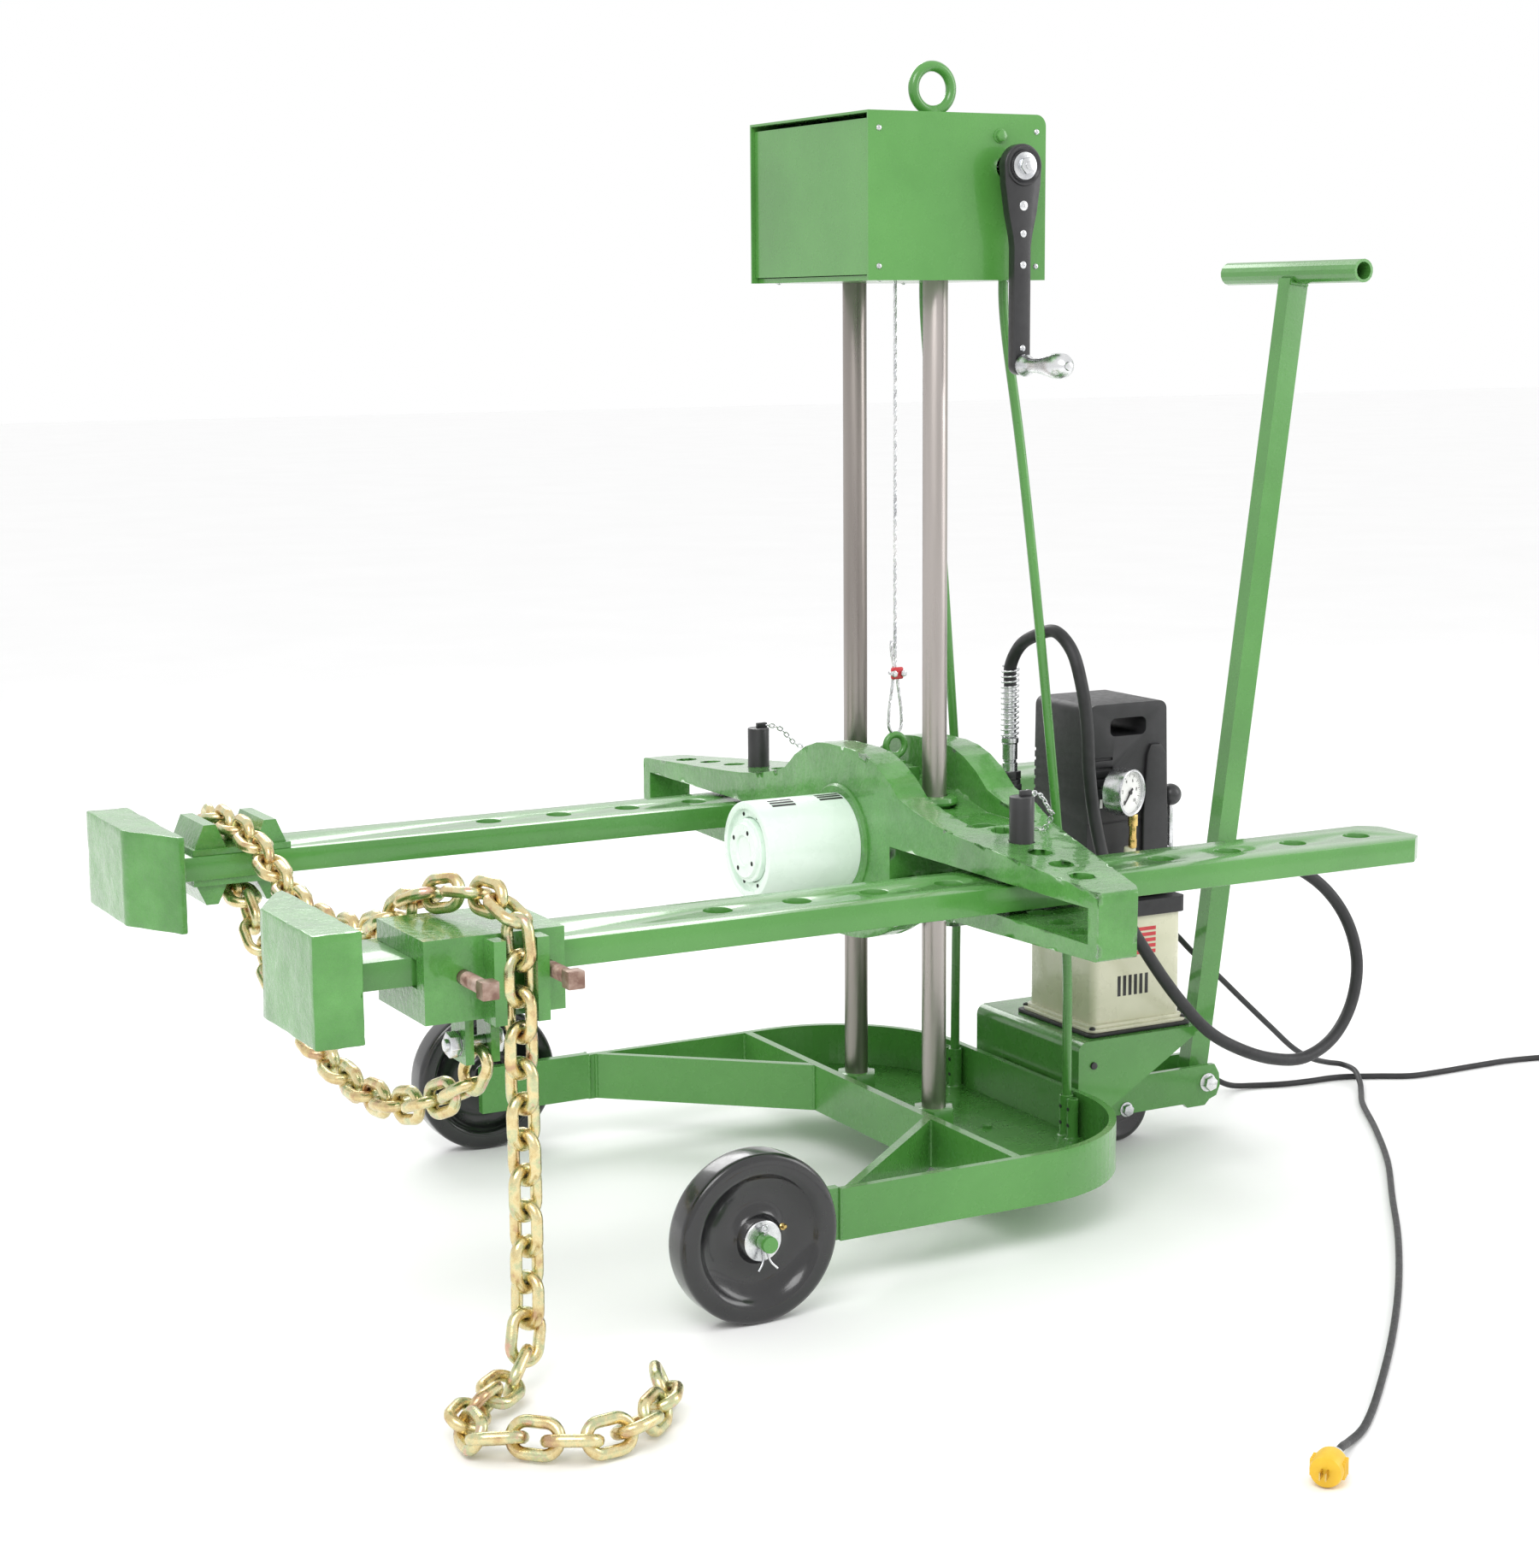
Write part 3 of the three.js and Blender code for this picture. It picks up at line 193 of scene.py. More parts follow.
def box(x0, x1, y0, y1, z0, z1, bevel=1.0, segments=2):
    shape = bmesh.new()
    bmesh.ops.create_cube(shape, size=1)
    centre = Matrix.Translation(((x0 + x1) / 2, (y0 + y1) / 2, (z0 + z1) / 2))
    placed(shape, centre @ Matrix.Diagonal((abs(x1 - x0), abs(y1 - y0), abs(z1 - z0), 1)))
    return bevelled(shape, bevel, segments)


def lathe(profile, steps=48, axis="Z", place=(0, 0, 0)):
    """Turns (radius, height) points about an axis. Points of no radius close on the axis."""
    shape = bmesh.new()
    rings = []
    for r, h in profile:
        if r < 1e-6:
            rings.append([shape.verts.new((0, 0, h))])
        else:
            turns = (2 * math.pi * i / steps for i in range(steps))
            rings.append([shape.verts.new((r * math.cos(t), r * math.sin(t), h)) for t in turns])
    for low, high in zip(rings, rings[1:]):
        for i in range(steps):
            j = (i + 1) % steps
            corners = [low[i % len(low)], low[j % len(low)], high[j % len(high)], high[i % len(high)]]
            unique = list(dict.fromkeys(corners))
            if len(unique) > 2:
                shape.faces.new(unique)
    turn = {
        "Z": Matrix.Identity(4), "X": Matrix.Rotation(math.pi / 2, 4, "Y"),
        "Y": Matrix.Rotation(-math.pi / 2, 4, "X"),
    }
    return placed(shape, Matrix.Translation(place) @ turn[axis])


def rod(axis, place, r, a, b, bevel=0.6, steps=40):
    """A round bar with eased ends, from a to b along the axis."""
    profile = [(0, a), (r - bevel, a), (r - bevel * 0.3, a + bevel * 0.3), (r, a + bevel)]
    profile += [(r, b - bevel), (r - bevel * 0.3, b - bevel * 0.3), (r - bevel, b), (0, b)]
    return lathe(profile, steps, axis, place)


def slab(outline, axis, a, b, bevel=1.0, segments=2):
    """A plate cut from an outline. axis is the way it is thick: the outline is (x, y), (x, z) or (y, z)."""
    shape = bmesh.new()
    spots = {
        "Z": lambda u, v, h: (u, v, h),
        "Y": lambda u, v, h: (u, h, v),
        "X": lambda u, v, h: (h, u, v),
    }[axis]
    low = [shape.verts.new(spots(u, v, a)) for u, v in outline]
    high = [shape.verts.new(spots(u, v, b)) for u, v in outline]
    count = len(outline)
    shape.faces.new(low)
    shape.faces.new(high[::-1])
    for i in range(count):
        j = (i + 1) % count
        shape.faces.new((low[i], high[i], high[j], low[j]))
    bmesh.ops.recalc_face_normals(shape, faces=shape.faces)
    return bevelled(shape, bevel, segments)


def arc(cx, cy, r, start, stop, steps):
    """Points on an arc, in degrees."""
    turns = [math.radians(start + (stop - start) * i / steps) for i in range(steps + 1)]
    return [(cx + r * math.cos(t), cy + r * math.sin(t)) for t in turns]


def hexagon(place, axis, across, a, b, turn=0.0, bevel=0.8):
    """A bolt head or nut, given the width across its flats."""
    reach = across / 2 / math.cos(math.pi / 6)
    u0, v0 = place
    points = []
    for i in range(6):
        t = math.radians(60 * i) + turn
        points.append((u0 + reach * math.cos(t), v0 + reach * math.sin(t)))
    return slab(points, axis, a, b, bevel)


print("helpers are ready")


# %% Cut one solid with others
def baked(thing):
    """Fixes the thing's modifiers into its mesh."""
    bpy.context.view_layer.update()
    evaluated = thing.evaluated_get(bpy.context.evaluated_depsgraph_get())
    thing.data = bpy.data.meshes.new_from_object(evaluated)
    thing.modifiers.clear()
    return thing


def ease(thing, width, segments, angle):
    """Adds a bevel on every edge that is sharper than the angle."""
    soften = thing.modifiers.new("eased edges", "BEVEL")
    soften.width = width
    soften.segments = segments
    soften.limit_method = "ANGLE"
    soften.angle_limit = math.radians(angle)


def carved(name, shapes, tool_shapes, width, segments):
    """A solid with others cut out of it, and its edges eased."""
    thing = in_scene(name, joined(name, shapes))
    tool = in_scene("tool", joined("tool", tool_shapes))
    cut = thing.modifiers.new("cut", "BOOLEAN")
    cut.operation = "DIFFERENCE"
    cut.solver = "EXACT"
    cut.object = tool
    baked(thing)
    bpy.data.objects.remove(tool)
    ease(thing, width, segments, 40)
    return baked(thing)


# %% [markdown]
# ## Finishes
# The machine has few finishes, but each has its own small faults: enamel sprayed a little thick, a casting
# under paint, ground steel bar with mill brown on it, yellow chromate that shifts from gold to pink and
# green. One helper lays out the nodes for all of them: a slow noise moves the colour, a second one moves the
# gloss, and a fine one lifts the surface. Numbers that are the same all over sit on the shader itself.


# %% One node layout for every finish
def link_noise(tree, scale, detail=3.0, rough=0.55, stretch=(1, 1, 1)):
    """A noise in object space, so that it stays put as the piece moves."""
    spot = tree.nodes.new("ShaderNodeTexCoord")
    mapping = tree.nodes.new("ShaderNodeMapping")
    mapping.inputs["Scale"].default_value = stretch
    cloud = tree.nodes.new("ShaderNodeTexNoise")
    cloud.inputs["Scale"].default_value = scale
    cloud.inputs["Detail"].default_value = detail
    cloud.inputs["Roughness"].default_value = rough
    tree.links.new(spot.outputs["Object"], mapping.inputs["Vector"])
    tree.links.new(mapping.outputs["Vector"], cloud.inputs["Vector"])
    return cloud.outputs["Fac"]


def finish(
    name, colours, gloss, metal=0.0, coat=0.0, spread=5.0, grain=900.0, lift=0.02, stretch=(1, 1, 1),
    depth=0.001,
):
    """colours run dark to light along the slow noise; gloss is the lowest and highest roughness."""
    made = bpy.data.materials.new(name)
    made.use_nodes = True
    tree = made.node_tree
    shader = tree.nodes["Principled BSDF"]
    shader.inputs["Metallic"].default_value = metal
    shader.inputs["Coat Weight"].default_value = coat
    shader.inputs["Coat Roughness"].default_value = 0.08
    ramp = tree.nodes.new("ShaderNodeValToRGB")
    stops = ramp.color_ramp.elements
    first, last = 0.34, 0.68
    stops[0].position, stops[1].position = first, last
    stops[0].color = (*colours[0], 1)
    stops[1].color = (*colours[-1], 1)
    for i, colour in enumerate(colours[1:-1], 1):
        stop = stops.new(first + (last - first) * i / (len(colours) - 1))
        stop.color = (*colour, 1)
    tree.links.new(link_noise(tree, spread, 4, 0.6, stretch), ramp.inputs["Fac"])
    tree.links.new(ramp.outputs["Color"], shader.inputs["Base Color"])
    span = tree.nodes.new("ShaderNodeMapRange")
    span.inputs["From Min"].default_value = 0.3
    span.inputs["From Max"].default_value = 0.7
    span.inputs["To Min"].default_value = gloss[0]
    span.inputs["To Max"].default_value = gloss[1]
    tree.links.new(link_noise(tree, spread * 7, 5, 0.6, stretch), span.inputs["Value"])
    tree.links.new(span.outputs["Result"], shader.inputs["Roughness"])
    bump = tree.nodes.new("ShaderNodeBump")
    bump.inputs["Strength"].default_value = lift
    bump.inputs["Distance"].default_value = depth
    tree.links.new(link_noise(tree, grain, 3, 0.5, stretch), bump.inputs["Height"])
    tree.links.new(bump.outputs["Normal"], shader.inputs["Normal"])
    return made


GREEN = finish(
    "green enamel", [(0.0634, 0.225, 0.0396), (0.0749, 0.262, 0.0473), (0.0883, 0.29, 0.0568)], (0.2, 0.34),
    coat=0.5, spread=4, grain=260, lift=0.16,
)
CASTING = finish(
    "green enamel on a casting", [(0.0557, 0.215, 0.0344), (0.0749, 0.265, 0.0473), (0.096, 0.31, 0.0645)],
    (0.16, 0.36), coat=0.6, spread=14, grain=130, lift=0.6, depth=0.0016,
)
COLUMN = finish(
    "ground bar", [(0.2, 0.175, 0.16), (0.33, 0.3, 0.28), (0.46, 0.42, 0.4)], (0.24, 0.42), metal=0.9,
    spread=9, grain=700, lift=0.08, stretch=(1, 1, 0.06),
)
ZINC = finish(
    "bright zinc", [(0.5, 0.51, 0.53), (0.68, 0.69, 0.7), (0.8, 0.8, 0.8)], (0.16, 0.34), metal=1, spread=30,
    lift=0.1,
)
BLACK_STEEL = finish(
    "black oxide", [(0.012, 0.012, 0.013), (0.024, 0.024, 0.026)], (0.28, 0.46), coat=0.2, spread=20,
    lift=0.2,
)
TYRE = finish(
    "moulded black", [(0.006, 0.006, 0.007), (0.013, 0.013, 0.014)], (0.12, 0.3), coat=0.5, spread=12,
    lift=0.12,
)
PLASTIC = finish(
    "black moulding", [(0.012, 0.012, 0.013), (0.022, 0.022, 0.024)], (0.34, 0.5), spread=18, grain=1500,
    lift=0.3,
)
RUBBER = finish(
    "rubber jacket", [(0.01, 0.01, 0.011), (0.022, 0.022, 0.024)], (0.38, 0.56), spread=25, grain=1400,
    lift=0.25,
)
MINT = finish(
    "pale enamel", [(0.7, 0.86, 0.75), (0.78, 0.91, 0.81), (0.83, 0.94, 0.86)], (0.2, 0.34), coat=0.4,
    spread=5, grain=240, lift=0.1,
)
CREAM = finish(
    "cream enamel", [(0.58, 0.58, 0.42), (0.66, 0.65, 0.49), (0.72, 0.71, 0.56)], (0.22, 0.36), coat=0.4,
    spread=6, grain=300, lift=0.14,
)
CHROMATE = finish(
    "yellow chromate",
    [(0.52, 0.34, 0.2), (0.66, 0.52, 0.26), (0.74, 0.64, 0.36), (0.52, 0.56, 0.33), (0.7, 0.45, 0.33)],
    (0.16, 0.34), metal=0.95, spread=34, grain=600, lift=0.15,
)
RAW_STEEL = finish(
    "bare steel", [(0.22, 0.13, 0.1), (0.36, 0.25, 0.2), (0.46, 0.36, 0.31)], (0.35, 0.6), metal=0.7,
    spread=60, lift=0.3,
)
BRASS = finish("brass", [(0.55, 0.38, 0.12), (0.72, 0.53, 0.2)], (0.18, 0.34), metal=1, spread=40, lift=0.1)
YELLOW = finish(
    "yellow moulding", [(0.72, 0.43, 0.015), (0.85, 0.54, 0.03)], (0.34, 0.5), spread=30, lift=0.2,
)
RED = finish(
    "red enamel", [(0.5, 0.012, 0.02), (0.62, 0.03, 0.04)], (0.25, 0.4), coat=0.3, spread=30, lift=0.1,
)
DIAL = finish("dial face", [(0.8, 0.8, 0.78), (0.86, 0.86, 0.84)], (0.3, 0.42), spread=20, lift=0.03)
INK = finish("printed stripe", [(0.014, 0.014, 0.015), (0.03, 0.03, 0.03)], (0.3, 0.45), spread=40, lift=0.1)
# Painted shade: a near-black finish for discs that stand in for the shade inside holes.
SHADOW = finish("painted shade in holes", [(0.003, 0.004, 0.003), (0.008, 0.01, 0.008)], (0.6, 0.8), spread=20, lift=0.1)
print("finishes:", len(bpy.data.materials))

# %% [markdown]
# ## Floor and light
# The pale floor runs far enough back to meet the pale surroundings without a line. Light comes from large
# soft panels, as in a product studio: a broad one above and to the left, a second from the right, and an
# even glow all round, which gives the enamel its long soft highlights.

# %% Floor and light
floor_mesh = bpy.data.meshes.new("floor")
FAR = 30
floor_mesh.from_pydata([(-FAR, -FAR, 0), (FAR, -FAR, 0), (FAR, FAR, 0), (-FAR, FAR, 0)], [], [(0, 1, 2, 3)])
floor = in_scene("floor", floor_mesh)
floor_mesh.materials.append(
    finish("pale floor", [(0.96, 0.96, 0.96), (0.98, 0.98, 0.98)], (0.6, 0.7), spread=2, lift=0.01),
)

world = bpy.data.worlds.new("studio")
world.use_nodes = True
world.node_tree.nodes["Background"].inputs["Color"].default_value = (1.0, 1.0, 1.0, 1)
world.node_tree.nodes["Background"].inputs["Strength"].default_value = 1.0
bpy.context.scene.world = world
bpy.context.scene.view_settings.view_transform = "Standard"


def panel(name, place, aim, width, height, power):
    light = bpy.data.lights.new(name, "AREA")
    light.shape = "RECTANGLE"
    light.size, light.size_y, light.energy = width, height, power
    lamp = in_scene(name, light)
    lamp.location = place
    lamp.rotation_euler = (Vector(aim) - Vector(place)).to_track_quat("-Z", "Y").to_euler()


AIM = (0, 0, 0.6)
panel("key", (-2.2, -2.6, 3.6), AIM, 2.4, 2.0, 76)
panel("side", (3.4, -2.2, 2.0), AIM, 1.6, 2.4, 38)
panel("rear", (0.5, 3.6, 3.0), AIM, 2.6, 1.6, 60)
print("lights:", len(bpy.data.lights))

# %% [markdown]
# ## Lines through points
# Cords, hoses and the chain all follow a smooth line through given points. A centripetal
# Catmull-Rom curve passes through every point without overshooting, even where the points are unevenly
# spaced, which is just how a cord that was dropped on a floor behaves.


# %% A smooth line, and a tube along it
def spline(points, per_span=10):
    """Points on a centripetal Catmull-Rom curve."""
    spots = [Vector(p) for p in points]
    spots = [spots[0] * 2 - spots[1], *spots, spots[-1] * 2 - spots[-2]]
    line = []
    for a, b, c, d in zip(spots, spots[1:], spots[2:], spots[3:]):
        t0, t1, t2 = (max((q - p).length ** 0.5, 1e-4) for p, q in ((a, b), (b, c), (c, d)))
        m1 = ((b - a) / t0 - (c - a) / (t0 + t1) + (c - b) / t1) * t1
        m2 = ((c - b) / t1 - (d - b) / (t1 + t2) + (d - c) / t2) * t1
        for i in range(per_span):
            s = i / per_span
            line.append(
                b * (2 * s**3 - 3 * s**2 + 1) + m1 * (s**3 - 2 * s**2 + s)
                + c * (3 * s**2 - 2 * s**3) + m2 * (s**3 - s**2)
            )
    line.append(spots[-2])
    return line


def length_of(line):
    return sum((q - p).length for p, q in zip(line, line[1:]))


def frames(line, first=Vector((0, 0, 1))):
    """At each point the tangent and two cross directions that don't twist along the line."""
    found = []
    across = None
    for i, point in enumerate(line):
        along = (line[min(i + 1, len(line) - 1)] - line[max(i - 1, 0)]).normalized()
        if across is None:
            across = first if abs(along.dot(first)) < 0.95 else Vector((1, 0, 0))
        across = (across - along * across.dot(along)).normalized()
        found.append((point, along, across, along.cross(across)))
    return found


def tube(line, radius, sides=12, capped=True):
    """A closed tube. radius is a number, or a function of the share of the way along."""
    shape = bmesh.new()
    rings = []
    count = len(line) - 1
    for i, (point, _, u, v) in enumerate(frames(line)):
        r = radius(i / count) if callable(radius) else radius
        turns = (2 * math.pi * k / sides for k in range(sides))
        rings.append([shape.verts.new(point + u * (r * math.cos(t)) + v * (r * math.sin(t))) for t in turns])
    for low, high in zip(rings, rings[1:]):
        for k in range(sides):
            j = (k + 1) % sides
            shape.faces.new((low[k], low[j], high[j], high[k]))
    if capped:
        shape.faces.new(rings[0][::-1])
        shape.faces.new(rings[-1])
    return shape


print(
    "a straight line of 3 points is", round(length_of(spline([(0, 0, 0), (1, 0, 0), (2, 0, 0)])), 3), "long",
)

# %% [markdown]
# ## Hose and cords
# The pressure hose runs from the ram's coupler up, over and down to the floor behind the machine, and back
# to the valve on the pump. It is stiff, so its bends are wide. The mains cord drops from the pump to the
# floor, turns back in a loop and ends in a yellow connector. The pendant lead for the pump's switch runs
# off to the side, where its spare length is wound into a coil. Each follows the CAD's own route.

# %% The hose
HOSE_R = 8.5
HOSE = [
    (175, -10, 655.5), (175, -10.5, 682), (176, -32, 712), (177, -70, 730), (180, -110, 738),
    (184, -142, 716), (189, -158, 672), (194, -164, 620), (198, -164, 560), (208, -162, 500),
    (228, -160, 430), (258, -160, 364), (300, -160, 300), (350, -160, 236), (405, -158, 182),
    (460, -156, 150), (520, -152, 128), (580, -144, 120), (640, -132, 138), (684, -118, 180),
    (704, -104, 236), (696, -90, 292), (666, -76, 340), (620, -62, 374), (560, -48, 394), (500, -38, 398),
    (450, -36, 396), (431, -36, 396),
]
hose_line = spline(HOSE, 8)
hose = finished("pressure_hose", [tube(hose_line, HOSE_R, 20)], RUBBER, None, 60)
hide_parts("hose")
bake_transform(hose)
print("hose", round(length_of(hose_line)), "mm")

# %% The mains cord
CORD_R = 4.25
FLOOR_Z = 4.55
TANK_REAR = 396
MAINS = [
    (TANK_REAR + 34.6, 34, 296), (446, 34, 296), (478, 34, 280), (518, 34, 243), (563, 34, 204),
    (612, 36, 160), (668, 42, 112), (722, 56, 70), (775, 78, 42), (820, 94, 26), (848, 96, 19),
    (850, 70, 16.5), (832, 34, 9), (808, 2, FLOOR_Z), (770, -46, FLOOR_Z), (701, -156, FLOOR_Z),
    (610, -290, FLOOR_Z), (510, -417, FLOOR_Z), (401, -556, FLOOR_Z), (255, -725, FLOOR_Z),
    (98, -888, FLOOR_Z), (-34, -1010, FLOOR_Z), (-79, -1039, FLOOR_Z + 3), (-104, -1059, 15),
    (-128, -1078, 17),
]
mains_line = spline(MAINS, 8)
mains = finished("mains_lead", [tube(mains_line, CORD_R, 14)], RUBBER, "cart", 60)
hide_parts("mains_cord")
PLUG_HEADING = math.atan2(-39, -49)


def turned_parts(profile, steps=32):
    """A turned piece that lies along +X, ready to be swung to the cord's end."""
    return lathe(profile, steps, "X")


connector_body = turned_parts(
    [
        (0, 1), (8.5, 1), (10, 3), (10.4, 12), (12, 14), (16.6, 17), (17, 20), (17, 41), (15.5, 45), (11, 46),
        (0, 46),
    ]
)
connector_grips = [
    box(19 + 5 * i, 21.5 + 5 * i, -17.8, 17.8, -9, 9, 0.8) for i in range(4)
]
swing = Matrix.Translation((-128.3, -1078.2, 17.4)) @ Matrix.Rotation(PLUG_HEADING, 4, "Z")
connector = finished(
    "mains_connector", [placed(s, swing) for s in [connector_body, *connector_grips]], YELLOW, "cart",
)
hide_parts("mains_plug")
collar = finished(
    "connector_collar",
    [
        placed(
            turned_parts([(4.6, 2), (10.9, 2), (11.2, 4), (11.2, 12), (10.8, 13.5), (4.6, 13.5), (4.6, 2)]),
            swing,
        ),
    ],
    ZINC, "cart",
)
blades = [box(45, 58, -3 * s - 0.8, -3 * s + 0.8, -4, 4, 0.3) for s in (-1, 1)]
pins = finished("connector_blades", [placed(b, swing) for b in blades], BRASS, "cart")
print("mains cord", round(length_of(mains_line)), "mm")

# %% The pendant lead, its coil and its switch
COIL_X, COIL_Y = 1350, 30
COIL_OUT, COIL_IN = 54.5, 37.2
LAYER = 8.7
LEAD = [
    (TANK_REAR + 34.6, 34, 228), (446, 34, 228), (476, 44, 206), (520, 62, 140), (560, 84, 84),
    (604, 104, 36), (648, 112, 10), (694, 106, FLOOR_Z), (735, 92, FLOOR_Z), (776, 86, FLOOR_Z),
    (833, 81, FLOOR_Z), (884, 58, FLOOR_Z), (930, 34, FLOOR_Z), (979, 30, FLOOR_Z), (1050, 30, FLOOR_Z),
    (1120, 28, FLOOR_Z), (1193, 12, FLOOR_Z), (1250, -12, FLOOR_Z), (1290, -22, FLOOR_Z),
    (1317, COIL_Y - COIL_OUT, FLOOR_Z),
]
TAIL = [
    (COIL_X + COIL_OUT, 62, 28.5), (COIL_X + COIL_OUT, 82, 23), (COIL_X + COIL_OUT, 106, 16),
    (COIL_X + COIL_OUT, 128, 14),
]
LAYERS = 4
STEPS = 40
coil = []
for layer in range(LAYERS):
    for i in range(2 * STEPS):
        share = i / (2 * STEPS)
        inward = share if layer % 2 == 0 else 1 - share
        radius = COIL_OUT + (COIL_IN - COIL_OUT) * inward
        turn = -math.pi / 2 + 2 * math.pi * (2 * layer + i / STEPS)
        climb = max(0.0, share - 0.85) / 0.15 if layer < LAYERS - 1 else 0.0
        height = FLOOR_Z + LAYER * (layer + climb)
        coil.append((COIL_X + radius * math.cos(turn), COIL_Y + radius * math.sin(turn), height))
last_turn = [math.radians(-90 + 9 * i) for i in range(11)]
high = FLOOR_Z + (LAYERS - 1) * LAYER
coil += [(COIL_X + COIL_OUT * math.cos(t), COIL_Y + COIL_OUT * math.sin(t), high) for t in last_turn]
lead_line = spline(LEAD, 8) + [Vector(p) for p in coil[1:]] + spline(TAIL, 6)
lead = finished("pendant_cord", [tube(lead_line, CORD_R, 12)], RUBBER, "cart", 60)
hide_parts("pendant_lead", "pendant_coil", "pendant_tail")
SWITCH_X, SWITCH_Y = COIL_X + COIL_OUT, 128.5
switch_case = box(SWITCH_X - 17, SWITCH_X + 17, SWITCH_Y + 14, SWITCH_Y + 110, 1, 27, 5, 4)
switch_nose = lathe([(0, 0), (5.5, 0), (9, 3), (9, 14), (0, 14)], 24, "Y", (SWITCH_X, SWITCH_Y, 14))
switch = finished(
    "pendant_case", [switch_case, switch_nose], PLASTIC, "cart"
)
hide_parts("pendant_switch")
for name, y, finish_of in (("pendant_button_run", 45, ZINC), ("pendant_button_stop", 75, RED)):
    profile = [(0, 25), (8.5, 25), (8.5, 26.2), (7.5, 27), (0, 27.2)]
    finished(name, [lathe(profile, 32, "Z", (SWITCH_X, SWITCH_Y + y, 0))], finish_of, "cart")
print("pendant lead", round(length_of(lead_line)), "mm")

# %% [markdown]
# ## Frame parts that keep their CAD shape
# The bent flat-bar base, its braces, the shelf and the tow handle are plain sheet and bar, so the CAD
# shape is already right. They only lack what a grinder and a brush leave behind: slightly rounded edges.
# A bevel modifier adds those without touching the CAD mesh, and the finish does the rest.


# %% Dress the CAD parts
def dress(node, material, edge=0.8, smooth=32, segments=2):
    """Gives a CAD node its finish and eased edges."""
    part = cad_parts[node]
    cover(part.data, material, smooth)
    if edge:
        ease(part, edge / 1000, segments, smooth)
    return part


PLAIN_GREEN = (
    "base_rail", "cross_beam", "brace_near", "brace_far", "axle_arm_near", "axle_arm_far", "pump_shelf",
    "tongue", "tow_handle", "head_deck", "head_cover", "head_front_panel",
)
for node in PLAIN_GREEN:
    dress(node, GREEN, 1.0)
dress("head_front_panel", GREEN, 0.6)
for node in ("chain_saddle", "chain_clamp"):
    dress(node, CASTING, 2.2, 32, 3)
dress("winch_drum", ZINC, 0.6)
dress("valve_block", PLASTIC, 1.6)
dress("pump_flange", RUBBER, 1.2)
dress("gauge_needle", INK, 0)
print("dressed", len(PLAIN_GREEN) + 5, "CAD parts")

# %% [markdown]
# ## Columns and stay rods
# The two columns are ground bar, with mill brown left in long streaks. The finish stretches its noise along
# the bar, which gives those streaks. The green stay rods are bent by hand, so they run on a smooth line.

# %% Columns and stay rods
COLUMN_R, COLUMN_Y = 15.875, 101.6
HEAD_LOW, HEAD_TOP = 1190, 1393
SIDES = (("near", -1), ("far", 1))
for tag, s in SIDES:
    bar = finished(
        f"guide_column_{tag}", [rod("Z", (0, s * COLUMN_Y, 0), COLUMN_R, 66.3, 1280, 1.5, 64)], COLUMN,
        "cart", 40,
    )
    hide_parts(f"column_{tag}")
    route = [
        (104, s * 97, HEAD_LOW + 12), (104, s * 97, HEAD_LOW - 20), (107, s * 98, HEAD_LOW - 60),
        (126, s * 106, 980), (154, s * 116, 720), (179, s * 126, 440), (184, s * 138, 300),
        (184, s * 140, 180), (184, s * 140, 70),
    ]
    stay = finished(f"stay_{tag}", [tube(spline(route, 8), 6.35, 24)], GREEN, "cart", 60)
    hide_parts(f"stay_rod_{tag}")

# %% [markdown]
# ## Base deck with its sockets
# A thin floor plate closes the rear of the base. Two hexagon nuts welded to it hold the columns, and next to
# the rear bend two pairs of small tubes take the stay rods, each with a set screw. The plate needs the round
# rail's own outline, so it is cut as one slab, and the sockets are turned and joined with small welds.

# %% Base deck
RAIL_BEND, FRAME_SIDE, BAR_STOCK = 200, 363, 9.5
bend = RAIL_BEND - BAR_STOCK - 0.3
reach = FRAME_SIDE - BAR_STOCK - 0.3
deck_outline = [
    (-28.7, -reach), *arc(4, -163, bend, -90, 0, 24), *arc(4, 163, bend, 0, 90, 24), (-28.7, reach),
]
deck = [slab(deck_outline, "Z", 60, 66, 0.5)]
for _, s in SIDES:
    deck.append(hexagon((0, s * COLUMN_Y), "Z", 50.8, 65.5, 121, 0, 1.6))
    deck.append(lathe([(25, 65.8), (30, 66), (27, 69), (25.4, 73), (24, 74)], 40, "Z", (0, s * COLUMN_Y, 0)))
    for x, y, r, hole, high in ((184, 140, 9.5, 6.9, 121), (181, 159, 7.5, 4.5, 120)):
        profile = [
            (r + 3, 66), (r + 1, 67), (r, 70), (r, high - 0.8), (r - 0.8, high), (hole, high), (hole, 70),
            (0, 70),
        ]
        deck.append(lathe(profile, 32, "Z", (x, s * y, 0)))
    deck.append(box(178, 184, s * 140, s * 159, 65, 117, 0.6))
for _, s in SIDES:
    for x in (60, 110):
        deck.append(lathe([(0, 70.5), (6, 70.5), (7.5, 69), (7.5, 66)], 6, "Z", (x, s * 60, 0)))
base_plate = finished("deck_plate", deck, GREEN, "cart", 32)
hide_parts("base_deck")
dark = []
for _, s in SIDES:
    for x, y, r in ((184, 140, 9.5), (181, 159, 7.5)):
        for z in (84, 106):
            dark.append(
                lathe([(0, -r - 0.5), (2.6, -r - 0.5), (2.6, -r + 2), (0, -r + 2)], 16, "X", (x, s * y, z)),
            )
finished("socket_set_screws", dark, BLACK_STEEL, "cart")
print("deck pieces:", len(deck))

# %% [markdown]
# ## Welds along the base
# Where bar meets bar there is a fillet of weld under the paint. A thin tube that wavers a little in radius
# looks like one. It runs down each joint of the cross beam, the braces and the axle arms.


